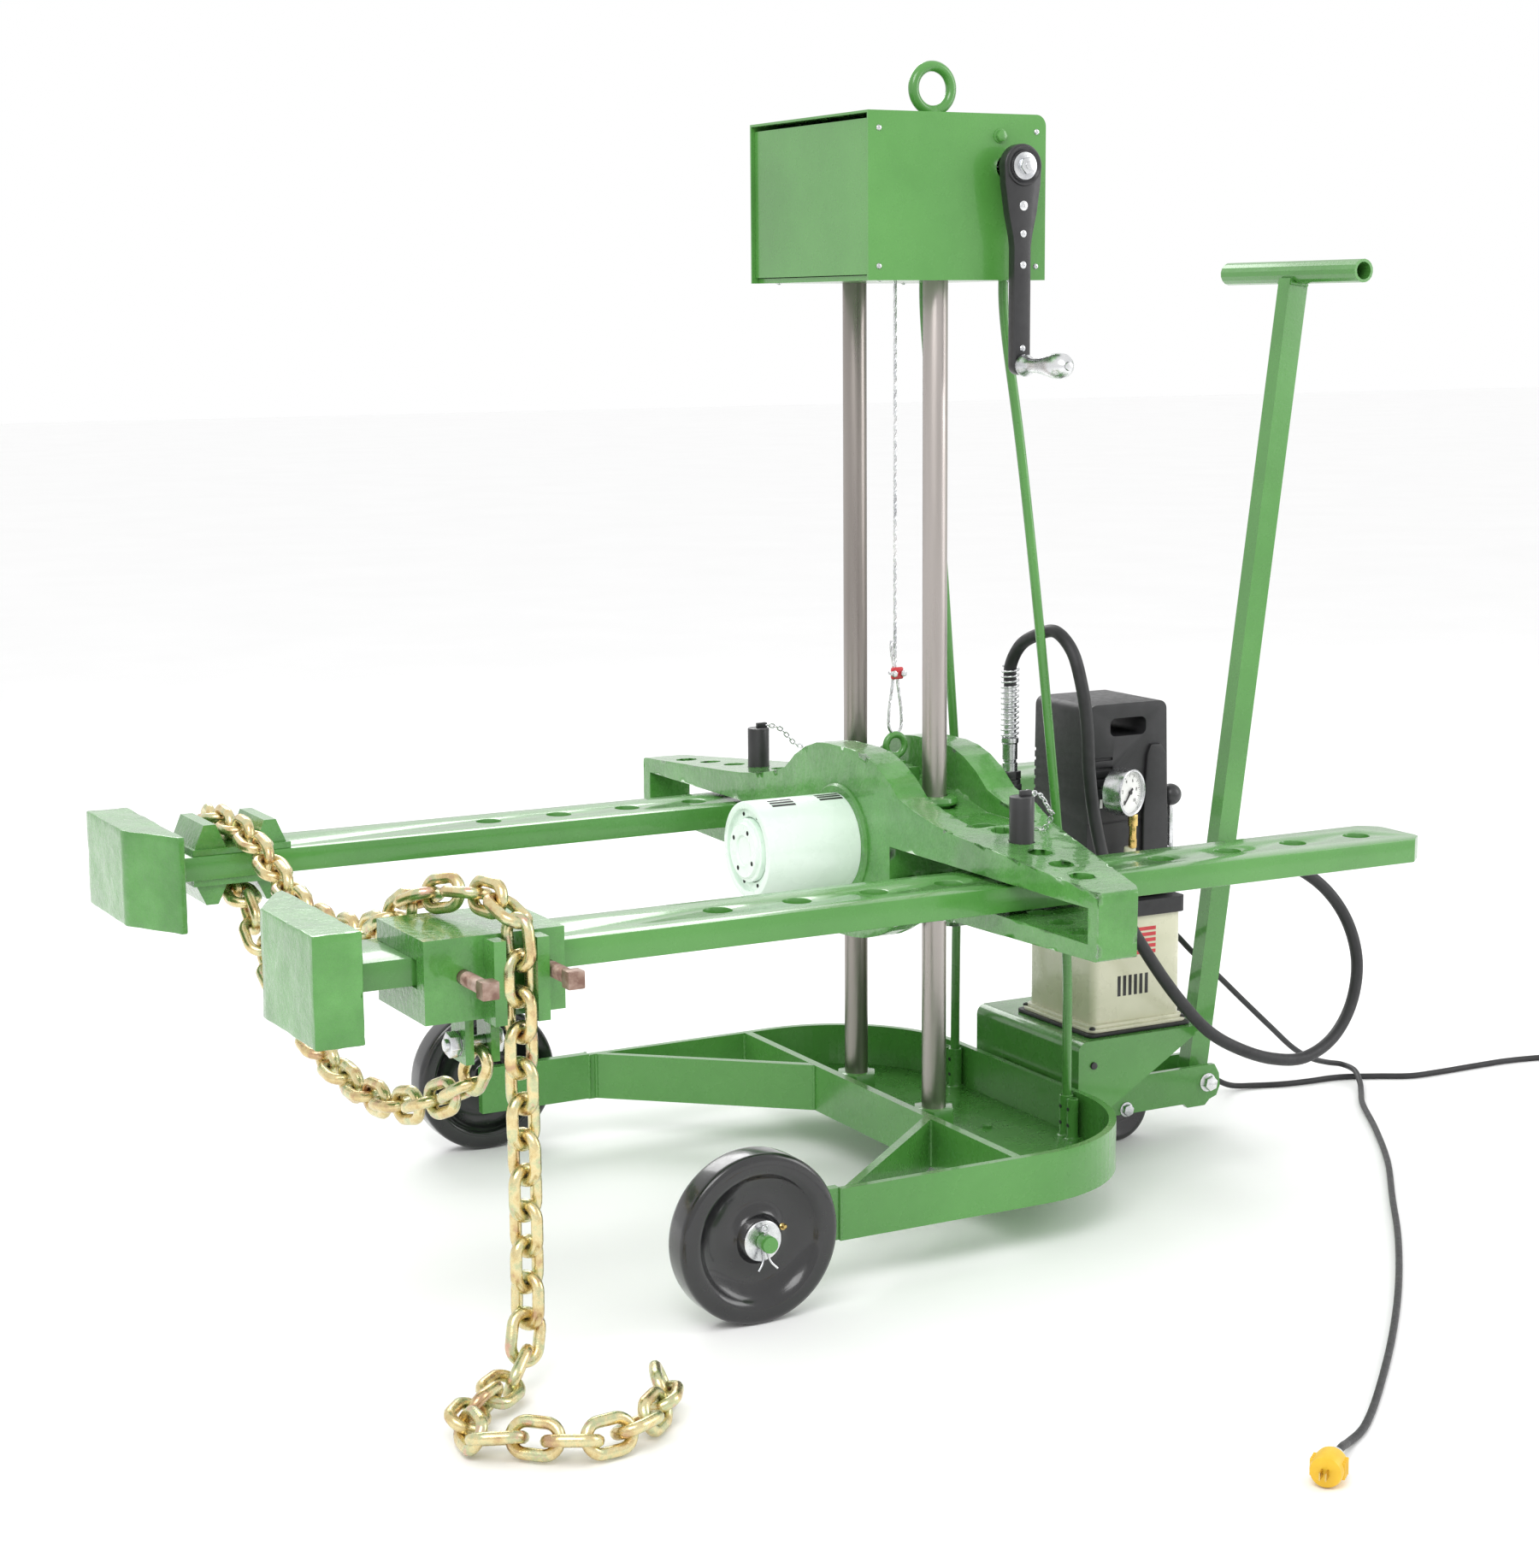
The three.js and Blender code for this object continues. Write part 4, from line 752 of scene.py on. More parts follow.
# %% Welds
def weld(start, stop, size, seed, step=2.6):
    """A run of ripples between two points."""
    a, b = Vector(start), Vector(stop)
    count = max(4, int((b - a).length / step))
    line = [a.lerp(b, i / count) for i in range(count + 1)]
    wave = [
        0.88 + 0.12 * math.sin(i * 2.1) + 0.14 * noise.noise(Vector((i * 0.7, seed, 0)))
        for i in range(count + 1)
    ]
    return tube(line, lambda t: size * wave[round(t * count)], 8)


welds = []
for _, s in SIDES:
    inner = s * (FRAME_SIDE - BAR_STOCK)
    welds += [
        weld((-41.5, inner, 64), (-41.5, inner, 122), 3, 1),
        weld((-28.5, inner, 64), (-28.5, inner, 122), 3, 2),
        weld((-41.8, s * 146, 62), (-41.8, s * 146, 123), 3, 3),
        weld((-41.8, s * 163, 62), (-41.8, s * 163, 123), 3, 4),
        weld((-278, inner, 62), (-278, inner, 123), 3, 5),
        weld((-290, s * 352, 64), (-290, s * 352, 124), 3, 6),
        weld((-290.5, s * 363.5, 62), (-290.5, s * 363.5, 126), 2.6, 7),
    ]
finished("base_welds", welds, GREEN, "cart", 50)
print("welds:", len(welds))

# %% [markdown]
# ## Wheels
# The two wheels are black mouldings with a deep dish, a rounded rim and a boss. Turned as a lathe profile,
# they get a smooth rim. Outside each sits a bright washer on the green axle end, held by a split pin, with a
# brass grease fitting in the boss beside it.


# %% Wheels and their fastenings
WHEEL_X, WHEEL_R, WHEEL_FACE, WHEEL_WIDE = -429, 101.6, 425, 42


def wheel_profile(r, half, bore):
    face = [
        (bore, -half), (22, -half), (25, -half + 2), (27, -half + 9), (32, -half + 13), (44, -half + 15),
        (r - 34, -half + 13), (r - 27, -half + 6), (r - 23, -half + 1), (r - 18, -half - 0.2), (r - 7, -half),
        (r - 2.5, -half + 1.5), (r - 0.4, -half + 5), (r, -half + 9),
    ]
    return [*face, *[(x, -h) for x, h in reversed(face)], (bore, -half)]


for tag, s in SIDES:
    middle = s * (WHEEL_FACE - WHEEL_WIDE / 2)
    body = f"wheel_{'left' if s < 0 else 'right'}"
    shape = lathe(wheel_profile(WHEEL_R, WHEEL_WIDE / 2, 10), 96, "Y", (WHEEL_X, middle, WHEEL_R))
    tyre = finished(f"wheel_moulding_{tag}", [shape], TYRE, body, 50)
    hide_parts(f"wheel_{tag}")
    out = s * WHEEL_FACE

    def outward(a, b, s=s, out=out):
        """A span outside the wheel's face, on either side."""
        return sorted((out + s * a, out + s * b))

    low, high = outward(0.4, 3.4)
    washer = [(10, low), (23, low), (24, low + 0.8), (24, high - 0.8), (23, high), (10, high), (10, low)]
    finished(
        f"axle_washer_{tag}", [lathe(washer, 48, "Y", (WHEEL_X, 0, WHEEL_R))], ZINC, "cart",
    )
    low, high = outward(3.4, 21.5)
    finished(
        f"axle_end_{tag}", [
            rod("Y", (WHEEL_X, 0, WHEEL_R), 9.9, low, high, 1.6),
        ], GREEN, "cart"
    )
    y = out + s * 11
    bent = [
        (WHEEL_X - 2, y, WHEEL_R + 15), (WHEEL_X - 1, y, WHEEL_R), (WHEEL_X + 1, y, WHEEL_R - 12),
        (WHEEL_X + 4, y + s * 3, WHEEL_R - 22), (WHEEL_X + 11, y + s * 6, WHEEL_R - 30),
    ]
    other = [(x - 3 + 2 * (x - WHEEL_X) * -1, v, z) for x, v, z in bent]
    loop = [
        (WHEEL_X - 2 + 4 * math.cos(t), y, WHEEL_R + 17 + 4 * math.sin(t))
        for t in [k * math.pi / 6 for k in range(13)]
    ]
    split = [
        tube(spline(bent, 5), 1.4, 8), tube(spline(other, 5), 1.4, 8),
        tube([Vector(p) for p in loop], 1.4, 8),
    ]
    finished(f"split_pin_{tag}", split, ZINC, "cart", 60)
    fitting = lathe([(0, 0), (4, 0), (4, 2), (2.6, 3), (3, 6), (3.2, 7), (1.6, 9), (0, 9.4)], 20, "Z")
    turn = Matrix.Translation(
        (WHEEL_X + 31, out - s * 9, WHEEL_R + 9),
    ) @ Matrix.Rotation(s * -math.pi / 2.4, 4, "X")
    finished(f"grease_fitting_{tag}", [placed(fitting, turn)], BRASS, body)
CASTER_X, CASTER_R = 354, 50.8
caster_shape = [
    (6.6, -25), (14, -25), (14, -17), (36, -17), (40, -20), (44, -21), (48, -20.4), (50.3, -18),
    (CASTER_R, -15),
]
caster_shape = [*caster_shape, *[(x, -h) for x, h in reversed(caster_shape)], (6.6, -25)]
caster = finished(
    "caster_moulding", [
        lathe(caster_shape, 72, "Y", (CASTER_X, 0, CASTER_R)),
    ], TYRE, "caster", 50
)
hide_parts("caster_wheel")
print("wheel radius", WHEEL_R, "caster radius", CASTER_R)

# %% [markdown]
# ## Head box
# The winch sits in a folded sheet box. Its front panel is set back under a folded lip, which leaves a dark
# line along the top and side. Small screws hold the panel and the side, and a lifting eye stands on top.

# %% Screws and the lifting eye
HEAD_SIDE, EYE_X = 152.4, 57


def screw(axis, place, r=3.6, high=2.2, sign=1):
    """A small domed screw with a round dimple in its crown, standing off a face."""
    profile = [
        (0, -0.6), (r, -0.6), (r, high * 0.3), (r * 0.72, high * 0.85), (r * 0.3, high),
        (r * 0.22, high * 0.55), (0, high * 0.5),
    ]
    return lathe([(a, sign * b) for a, b in profile], 24, axis, place)


near_side = -HEAD_SIDE
screws = [screw("Y", (x, near_side, z), sign=-1) for x in (-112, 116) for z in (1207, 1372)]
screws += [screw("Y", (x, HEAD_SIDE, z)) for x in (-112, 116) for z in (1207, 1372)]
screws += [screw("Z", (x, y, HEAD_TOP)) for x in (-98, 92) for y in (-118, 118)]
screws += [screw("Z", (-98, y, HEAD_TOP)) for y in (-40, 40)]
screws += [screw("Z", (x, y, HEAD_LOW), sign=-1) for x in (-98, 92) for y in (-130, 130)]
finished("head_screws", screws, ZINC, "cart")
bolt = [
    hexagon((62, 1366), "Y", 13, near_side - 6.5, near_side - 1),
    rod("Y", (62, 0, 1366), 9, near_side - 1.4, near_side + 0.4, 0.4),
]
finished("head_bolt", bolt, GREEN, "cart")

eye_z = HEAD_TOP + 41
ring_line = [
    (EYE_X + 28 * math.cos(t), 0, eye_z + 28 * math.sin(t)) for t in [2 * math.pi * k / 64 for k in range(65)]
]
foot = [(0, 0.3), (20, 0.3), (20, 3.5), (17, 7), (12, 11), (8.4, 15), (6.5, 19), (0, 19)]
eye = [tube([Vector(p) for p in ring_line], 7, 24, False), lathe(foot, 48, "Z", (EYE_X, 0, HEAD_TOP))]
eye.append(rod("Z", (EYE_X, 0, 0), 8, HEAD_LOW + 154, HEAD_TOP + 2))
loop = finished("lifting_ring", eye, GREEN, "cart", 50)
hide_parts("lifting_eye")
print("head screws:", len(screws))

# %% [markdown]
# ## Crank
# A forged black lever tapers from a round head to a slim arm. Bright rivets sit along it, a bolt and washer
# hold it on its shaft over a chromed collar, and a turned grip spins freely at the end.

# %% Crank lever and grip
CRANK_X, CRANK_Z, CRANK_ARM, CRANK_Y = 73, 1328, 243, -190
foot_z = CRANK_Z - CRANK_ARM
lever_outline = [
    *arc(CRANK_X, CRANK_Z, 27, -12, 192, 26), (CRANK_X - 25.5, CRANK_Z - 22), (CRANK_X - 20, CRANK_Z - 58),
    (CRANK_X - 14, CRANK_Z - 84), (CRANK_X - 12, CRANK_Z - 98), *arc(CRANK_X, foot_z, 12, 180, 360, 18),
    (CRANK_X + 12, CRANK_Z - 98), (CRANK_X + 14, CRANK_Z - 84), (CRANK_X + 20, CRANK_Z - 58),
    (CRANK_X + 25.5, CRANK_Z - 22),
]
lever_parts = [slab(lever_outline, "Y", CRANK_Y, CRANK_Y + 16, 2.4, 3)]
lever_parts.append(
    lathe(
        [(17, CRANK_Y + 1), (22, CRANK_Y - 2.5), (23.5, CRANK_Y - 2.5), (25, CRANK_Y + 1)], 48, "Y",
        (CRANK_X, 0, CRANK_Z),
    ),
)
lever = finished("crank_forging", lever_parts, BLACK_STEEL, "crank", 35)
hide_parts("crank_lever")
bright = [
    rod("Y", (CRANK_X, 0, CRANK_Z), 14, CRANK_Y + 15, near_side - 0.6, 1.2),
    rod("Y", (CRANK_X, 0, CRANK_Z), 8, near_side - 1, 51, 0.6),
    rod("Y", (CRANK_X, 0, CRANK_Z), 17, CRANK_Y - 4, CRANK_Y + 0.5, 1.0),
    hexagon((CRANK_X, CRANK_Z), "Y", 19, CRANK_Y - 12, CRANK_Y - 3.6, 0.2),
    rod("Y", (CRANK_X, 0, CRANK_Z), 5, CRANK_Y - 14, CRANK_Y - 11.5, 0.8),
    rod("Y", (CRANK_X, 0, CRANK_Z), 17.2, -45, -38, 0.8),
    rod("Y", (CRANK_X, 0, foot_z), 5, CRANK_Y - 104, CRANK_Y + 17, 0.6),
]
for drop, r in ((48, 6), (82, 4.5), (120, 4.5), (222, 4)):
    bright.append(screw("Y", (CRANK_X, CRANK_Y, CRANK_Z - drop), r, 2, -1))
finished("crank_brightwork", bright, ZINC, "crank", 40)
grip_shape = [
    (5.4, 1), (11, 1), (13.4, 2.6), (14, 6), (12.4, 10), (10, 14), (8.6, 20), (8.8, 30), (10.4, 44), (13, 58),
    (15.4, 70), (16, 79), (15.2, 88), (12.4, 94), (9, 98), (5.4, 100), (5.4, 1),
]
grip = lathe([(r, CRANK_Y - 1 - h) for r, h in grip_shape], 48, "Y", (CRANK_X, 0, foot_z))
knob = finished("crank_handle", [grip], ZINC, "grip", 60)
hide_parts("crank_grip")
print("crank arm", CRANK_ARM, "mm")

# %% [markdown]
# ## The yoke casting
# The yoke is a heavy casting: a front plate and a rear one, with a valley between them, arms with long
# windows for the pull bars, a round hub for the ram and collars for the columns. Its CAD form has the
# right size, but the corners of a casting are soft. The CAD mesh is copied, its edges are worn round with
# a bevel, its faces are cut finer, and then the surface is given a slight waviness.

# %% Soften the yoke
RAM_Z, RAM_R = 468, 63.5
PIN_X, PIN_Y, PIN_R, PIN_TOP = -22, 340, 15.875, 571


def soft_copy(node, name, width, waves, wave_scale):
    """A copy of a CAD node with worn edges, cut fine enough to carry a slight cast waviness."""
    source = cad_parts[node]
    shape = bmesh.new()
    shape.from_mesh(source.data)
    shape.transform(source.matrix_world)
    bmesh.ops.remove_doubles(shape, verts=shape.verts[:], dist=0.00002)
    bmesh.ops.dissolve_limit(shape, angle_limit=math.radians(1), verts=shape.verts[:], edges=shape.edges[:])
    bevelled(shape, width, 3, 35)
    bmesh.ops.triangulate(shape, faces=shape.faces[:])
    for _ in range(4):
        long_edges = [e for e in shape.edges if e.calc_length() > 0.012]
        bmesh.ops.subdivide_edges(shape, edges=long_edges, cuts=1, use_grid_fill=False)
        bmesh.ops.triangulate(shape, faces=[f for f in shape.faces if len(f.verts) > 3])
    shape.normal_update()
    for vertex in shape.verts:
        push = noise.noise(vertex.co * wave_scale) + 0.5 * noise.noise(vertex.co * wave_scale * 3)
        vertex.co += vertex.normal * push * waves
    mesh = bpy.data.meshes.new(name)
    shape.to_mesh(mesh)
    shape.free()
    mesh.validate()
    return in_scene(name, mesh)


yoke = soft_copy("yoke", "yoke_casting", 0.004, 0.0005, 26)
riding(yoke, CASTING, "yoke", 50)
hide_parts("yoke")
print("yoke faces:", len(yoke.data.polygons))

# %% Collars, seams and bosses on the casting
yoke_trim = []
for _, s in SIDES:
    for z, way in ((526, 1), (392, -1)):
        ring = [
            (17, z), (30, z), (31, z + way * 3), (29.5, z + way * 8), (24, z + way * 10), (17, z + way * 10),
            (17, z),
        ]
        yoke_trim.append(lathe(ring, 48, "Z", (0, s * COLUMN_Y, 0)))
finished("yoke_collars", yoke_trim, CASTING, "yoke", 35)
hub_lip = [
    (RAM_R + 0.6, -88), (RAM_R + 9, -88), (RAM_R + 12, -85), (RAM_R + 13, -78), (RAM_R + 0.6, -78),
    (RAM_R + 0.6, -88),
]
finished("yoke_hub_lip", [lathe(hub_lip, 72, "X", (0, 0, RAM_Z))], CASTING, "yoke", 35)
EYEBOLT_X, EYEBOLT_Z = 1.6, 588
ring_turns = [2 * math.pi * k / 48 for k in range(49)]
ring_line = [Vector((EYEBOLT_X + 14 * math.cos(t), 0, EYEBOLT_Z + 14 * math.sin(t))) for t in ring_turns]
bolt = [
    tube(ring_line, 4.5, 18, False), rod("Z", (EYEBOLT_X, 0, 0), 6.5, 541, EYEBOLT_Z - 13, 0.6),
    hexagon((EYEBOLT_X, 0), "Z", 24, 560.3, 568, 0.3),
]
eyebolt = finished("yoke_eye", bolt, GREEN, "yoke", 50)
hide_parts("yoke_eyebolt")
print("eyebolt at z", EYEBOLT_Z)

# %% [markdown]
# ## Ram
# The ram is a pale enamelled cylinder that passes through the hub. Its front end is set back inside a rim,
# with bolt holes round it and a saddle in the middle; those holes are dark discs of painted shade. Two small
# patches of plain stripes stand on its side.

# %% Ram body, plunger and stripes
RAM_FRONT, RAM_REAR = -222, 128
barrel = [
    (42.5, RAM_FRONT + 8), (44, RAM_FRONT + 7), (52, RAM_FRONT + 7), (53, RAM_FRONT + 6),
    (53.6, RAM_FRONT + 0.8), (54.6, RAM_FRONT), (61, RAM_FRONT), (62.8, RAM_FRONT + 0.8),
    (RAM_R, RAM_FRONT + 2.5), (RAM_R, RAM_REAR - 3), (62.8, RAM_REAR - 1), (61, RAM_REAR), (0, RAM_REAR),
]
ram_parts = [
    lathe(barrel, 96, "X", (0, 0, RAM_Z)),
    lathe([(42.5, RAM_FRONT + 8), (42.5, 60), (0, 60)], 64, "X", (0, 0, RAM_Z)),
]
ram = finished("ram_cylinder", ram_parts, MINT, "yoke", 35)
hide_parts("ram_body")
saddle = [
    (0, 55), (41.5, 55), (41.5, RAM_FRONT + 1), (40.6, RAM_FRONT), (37, RAM_FRONT - 0.6), (36, RAM_FRONT - 4),
    (35, RAM_FRONT - 5), (21, RAM_FRONT - 5), (20, RAM_FRONT - 4.4), (19, RAM_FRONT - 2), (0, RAM_FRONT - 2),
]
plunger = finished("ram_saddle", [lathe(saddle, 72, "X", (0, 0, RAM_Z))], MINT, "plunger", 35)
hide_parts("ram_plunger")
# Painted shade: near-black discs on the ram's end face stand in for its bolt holes.
holes = []
for k in range(8):
    t = 2 * math.pi * (k + 0.5) / 8
    holes.append(
        rod(
            "X", (0, 48 * math.cos(t), RAM_Z + 48 * math.sin(t)), 2.6, RAM_FRONT + 6.2, RAM_FRONT + 7.3, 0.1,
            16,
        ),
    )
finished("ram_end_hole_painted_shade", holes, SHADOW, "yoke")
# Painted shade: near-black discs on the saddle's face stand in for its holes.
face_holes = [
    rod("X", (0, 28 * math.cos(t), RAM_Z + 28 * math.sin(t)), 3.2, RAM_FRONT - 5.2, RAM_FRONT - 4.6, 0.1, 16)
    for t in [math.pi / 2 * k + 0.5 for k in range(4)]
]
finished("saddle_hole_painted_shade", face_holes, SHADOW, "plunger")
neck = [
    rod("X", (0, 0, RAM_Z + 28), 9, RAM_REAR - 2, 163, 0.6), box(158, 192, -27, 7, RAM_Z + 16, RAM_Z + 40, 2),
]
finished("ram_port", neck, BLACK_STEEL, "yoke")


def curved_patch(x0, x1, start, stop, radius, steps=8):
    """A thin printed bar on the ram between two angles, which are measured up from the near side."""
    shape = bmesh.new()
    rows = []
    for i in range(steps + 1):
        t = math.radians(start + (stop - start) * i / steps)
        y, z = -math.cos(t), math.sin(t)
        rows.append(
            [
                shape.verts.new((x, r * y, RAM_Z + r * z))
                for x, r in ((x0, radius), (x1, radius), (x1, radius + 0.35), (x0, radius + 0.35))
            ],
        )
    for a, b in zip(rows, rows[1:]):
        for k in range(4):
            j = (k + 1) % 4
            shape.faces.new((a[k], a[j], b[j], b[k]))
    shape.faces.new(rows[0])
    shape.faces.new(rows[-1])
    return shape


stripes = []
for start, x in ((66, -196), (70, -124)):
    for k in range(3):
        low = start + k * 6.6
        stripes.append(curved_patch(x, x + 34, low, low + 4, RAM_R))
finished("ram_stripes", stripes, INK, "yoke")
print("stripes on the ram:", len(stripes))

# %% [markdown]
# ## Pull bars, jaw pads and drop pins
# Each pull bar is a long flat bar with a row of round holes, so that it can be pinned nearer or further.
# The bar is a bevelled slab with the holes cut through it and their rims eased. The jaw pads are rough
# castings with a slanting inner end, and the drop pins are black bar with a tab for their small chain.

# %% Pull bars and pins
BAR_LOW, BAR_TOP, BAR_HALF, BAR_FRONT, BAR_REAR, HOLE_PITCH = 443, 474, 57.15, -905, 570, 104
for tag, s in SIDES:
    y = s * PIN_Y
    outline = [
        (BAR_FRONT, y - BAR_HALF), (BAR_REAR - 22, y - BAR_HALF), (BAR_REAR - 2, y - BAR_HALF + 18),
        (BAR_REAR, y - BAR_HALF + 26), (BAR_REAR, y + BAR_HALF - 26), (BAR_REAR - 2, y + BAR_HALF - 18),
        (BAR_REAR - 22, y + BAR_HALF), (BAR_FRONT, y + BAR_HALF),
    ]
    drills = [
        rod("Z", (PIN_X + k * HOLE_PITCH, y, 0), 17, BAR_LOW - 5, BAR_TOP + 5, 0.2, 48)
        for k in range(-4, 6)
    ]
    bar = carved(f"bar_{tag}", [slab(outline, "Z", BAR_LOW, BAR_TOP, 0)], drills, 0.0014, 2)
    riding(bar, GREEN, f"bar_{tag}", 35)
    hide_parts(f"pull_bar_{tag}")
    pin = [
        rod("Z", (PIN_X, y, 0), PIN_R - 0.6, 398, PIN_TOP, 1.6, 56),
        box(PIN_X - 3, PIN_X + 13, y - 3, y + 3, PIN_TOP - 2, PIN_TOP + 7, 1.2),
    ]
    piece = finished(f"pull_pin_{tag}", pin, BLACK_STEEL, f"pin_{tag}", 35)
    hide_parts(f"drop_pin_{tag}")
    pad = soft_copy(f"jaw_pad_{tag}", f"jaw_casting_{tag}", 0.002, 0.0009, 34)
    riding(pad, CASTING, f"bar_{tag}", 60)
    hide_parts(f"jaw_pad_{tag}")
    seam = weld(
        (BAR_FRONT - 0.5, y - BAR_HALF, BAR_TOP + 1), (BAR_FRONT - 0.5, y + BAR_HALF, BAR_TOP + 1), 4.5, 20,
    )
    finished(f"jaw_weld_{tag}", [seam], GREEN, f"bar_{tag}", 50)
print("holes in each bar:", len(drills))

# %% [markdown]
# ## Real chain links
# Each link is a bent wire in the shape of a running track. A link is placed every inner length along the
# route, and every second one is rolled a quarter turn, so that the links pass through each other as real
# ones do. The wire chain on each pin is the same thing at a smaller size.


# %% Chain
def link(wire, width, pitch, around=10, along=28):
    """One link about the origin, with its long way along X and its flat side facing Z."""
    bend = (width - wire) / 2
    half = (pitch + wire) / 2 - bend
    loop = [
        (half + bend * math.cos(t), bend * math.sin(t))
        for t in [math.radians(-90 + 180 * i / (along // 2)) for i in range(along // 2 + 1)]
    ]
    loop += [(-x, -y) for x, y in loop]
    shape = bmesh.new()
    rings = []
    count = len(loop)
    for i, (x, y) in enumerate(loop):
        before, after = loop[i - 1], loop[(i + 1) % count]
        ahead = Vector((after[0] - before[0], after[1] - before[1], 0)).normalized()
        out = Vector((ahead.y, -ahead.x, 0))
        turns = (2 * math.pi * k / around for k in range(around))
        rings.append(
            [
                shape.verts.new(
                    Vector((x, y, 0)) + out * (wire / 2 * math.cos(t)) + Vector(
                        (0, 0, wire / 2 * math.sin(t)),
                    ),
                )
                for t in turns
            ]
        )
    for i in range(count):
        a, b = rings[i], rings[(i + 1) % count]
        for k in range(around):
            j = (k + 1) % around
            shape.faces.new((a[k], a[j], b[j], b[k]))
    return shape


def chain_frames(line, pitch, roll=0.0, first=Vector((0, 0, 1))):
    """Places for links: one every pitch along the line, every second one rolled a quarter turn."""
    rows = frames(line, first)
    run = [0.0]
    for a, b in zip(line, line[1:]):
        run.append(run[-1] + (b - a).length)
    places = []
    i = 0
    count = int(run[-1] / pitch)
    for n in range(count + 1):
        goal = n * pitch
        while i < len(run) - 2 and run[i + 1] < goal:
            i += 1
        share = (goal - run[i]) / max(run[i + 1] - run[i], 1e-9)
        point = rows[i][0].lerp(rows[i + 1][0], min(share, 1))
        along, u, v = rows[i][1], rows[i][2], rows[i][3]
        turn = roll(point) if callable(roll) else roll
        turn += (n % 2) * math.pi / 2
        side = u * math.cos(turn) + v * math.sin(turn)
        up = along.cross(side)
        spot = Matrix((along, side, up)).transposed().to_4x4()
        places.append((point, Matrix.Translation(point) @ spot))
    return places


WIRE, LINK_WIDE, PITCH = 13.4, 46, 39.4
SLOT_X, CLAMP_OUT = -735, -432
LOOP = [
    (-762, -390, 340), (-766, -374, 318), (-778, -330, 296), (-790, -260, 272), (-799, -180, 262),
    (-802, -80, 264), (-803, 20, 282), (-802, 120, 312), (-801, 220, 366), (-801, 284, 414), (-801, 340, 417),
    (-801, 400, 414), (-801, 431, 429), (-801, 438, 458), (-801, 431, 488), (-801, 400, 502),
    (-801, 340, 500), (-801, 275, 500), (-801, 220, 490), (-802, 150, 470), (-804, 60, 448), (-804, -30, 440),
    (-802, -120, 446), (-800, -190, 462), (-796, -240, 486), (-782, -286, 514), (-760, -340, 528),
    (-743, -408, 530), (-736, -445, 514), (SLOT_X, -454, 490),
]
FALL = [
    (SLOT_X, -454, 470), (SLOT_X, -454, 420), (SLOT_X, -455, 330), (SLOT_X, -457, 240), (-737, -462, 150),
    (-743, -472, 75), (-763, -494, 32), (-808, -530, 24), (-858, -578, 24), (-862, -632, 24),
    (-826, -650, 24), (-790, -682, 24), (-748, -690, 24), (-700, -672, 24), (-662, -636, 24),
    (-634, -578, 24),
]
whole_chain = spline(LOOP + FALL, 8)
FLAT_ROLL = math.radians(42)


def lean(point):
    """Links that lie on the floor lean over, and those that hang don't."""
    return FLAT_ROLL * min(1.0, max(0.0, (90 - point.z) / 60))


groups = {"near": [], "far": [], "fall": []}
for n, (point, spot) in enumerate(chain_frames(whole_chain, PITCH, lean)):
    falls = point.y < CLAMP_OUT - 8 and point.z < 480
    group = "fall" if falls else "near" if point.y < 0 else "far"
    shape = placed(link(WIRE, LINK_WIDE, PITCH), spot)
    lowest = min(v.co.z for v in shape.verts)
    if lowest < 0.4:
        placed(shape, Matrix.Translation((0, 0, 0.4 - lowest)))
    groups[group].append(shape)
counts = {group: len(shapes) for group, shapes in groups.items()}
chain_near = finished("tie_chain_near", groups["near"], CHROMATE, None, 60)
chain_far = finished("tie_chain_far", groups["far"], CHROMATE, None, 60)
chain_fall = finished("tie_chain_fall", groups["fall"], CHROMATE, None, 60)
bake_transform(chain_near)
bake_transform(chain_far)
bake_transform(chain_fall)
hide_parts("chain_loop")
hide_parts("chain_fall")
print("links:", counts)

# %% Clamp screws, shackle and its bolt
for i, x in enumerate((-790, -692), 1):
    shank = rod("Y", (x, 0, 455), 8, CLAMP_OUT - 58, -398, 0.8, 32)
    threads = [
        lathe([(8, 0), (8.6, 0.7), (8, 1.4)], 24, "Y", (x, CLAMP_OUT - 52 + 2.4 * k, 455))
        for k in range(18)
    ]
    head = box(x - 10, x + 10, CLAMP_OUT - 76, CLAMP_OUT - 57, 445, 465, 1.8, 2)
    bolt = finished(f"set_screw_{i}", (shank, head, *threads), RAW_STEEL, "bar_near", 35)
    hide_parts(f"clamp_screw_{i}")
shackle = [
    rod("X", (0, -392, 372), 7, -799, -732, 0.8), hexagon((-392, 372), "X", 26, -795, -783, 0.2, 1.4),
    hexagon((-392, 372), "X", 26, -741, -733, 0.1, 1.2),
    lathe([(7, -783), (14, -783), (14, -781), (7, -781), (7, -783)], 32, "X", (0, -392, 372)),
]
pin = finished("shackle_pin", shackle, ZINC, "bar_near", 35)
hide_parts("shackle_bolt")
print("set screws: 2")

# %% Small chains on the drop pins
for tag, s in SIDES:
    hang = [
        (PIN_X + 8, s * PIN_Y, PIN_TOP + 4), (PIN_X + 30, s * (PIN_Y - 6), PIN_TOP - 2),
        (PIN_X + 52, s * (PIN_Y - 16), PIN_TOP - 26), (PIN_X + 62, s * (PIN_Y - 26), 540),
        (PIN_X + 58, s * (PIN_Y - 38), 519.5), (PIN_X + 44, s * (PIN_Y - 52), 518),
        (PIN_X + 26, s * (PIN_Y - 70), 519),
    ]
    small = [placed(link(1.8, 7, 6.4, 6, 16), spot) for _, spot in chain_frames(spline(hang, 8), 6.4)]
    wire_chain = finished(f"pin_chain_{tag}", small, ZINC, None, 60)
    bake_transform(wire_chain)
    tack = [box(PIN_X + 18, PIN_X + 32, s * (PIN_Y - 74), s * (PIN_Y - 64), 514, 521, 1)]
    finished(f"pin_chain_tack_{tag}", tack, GREEN, "yoke")
print("links on each pin chain:", len(small))

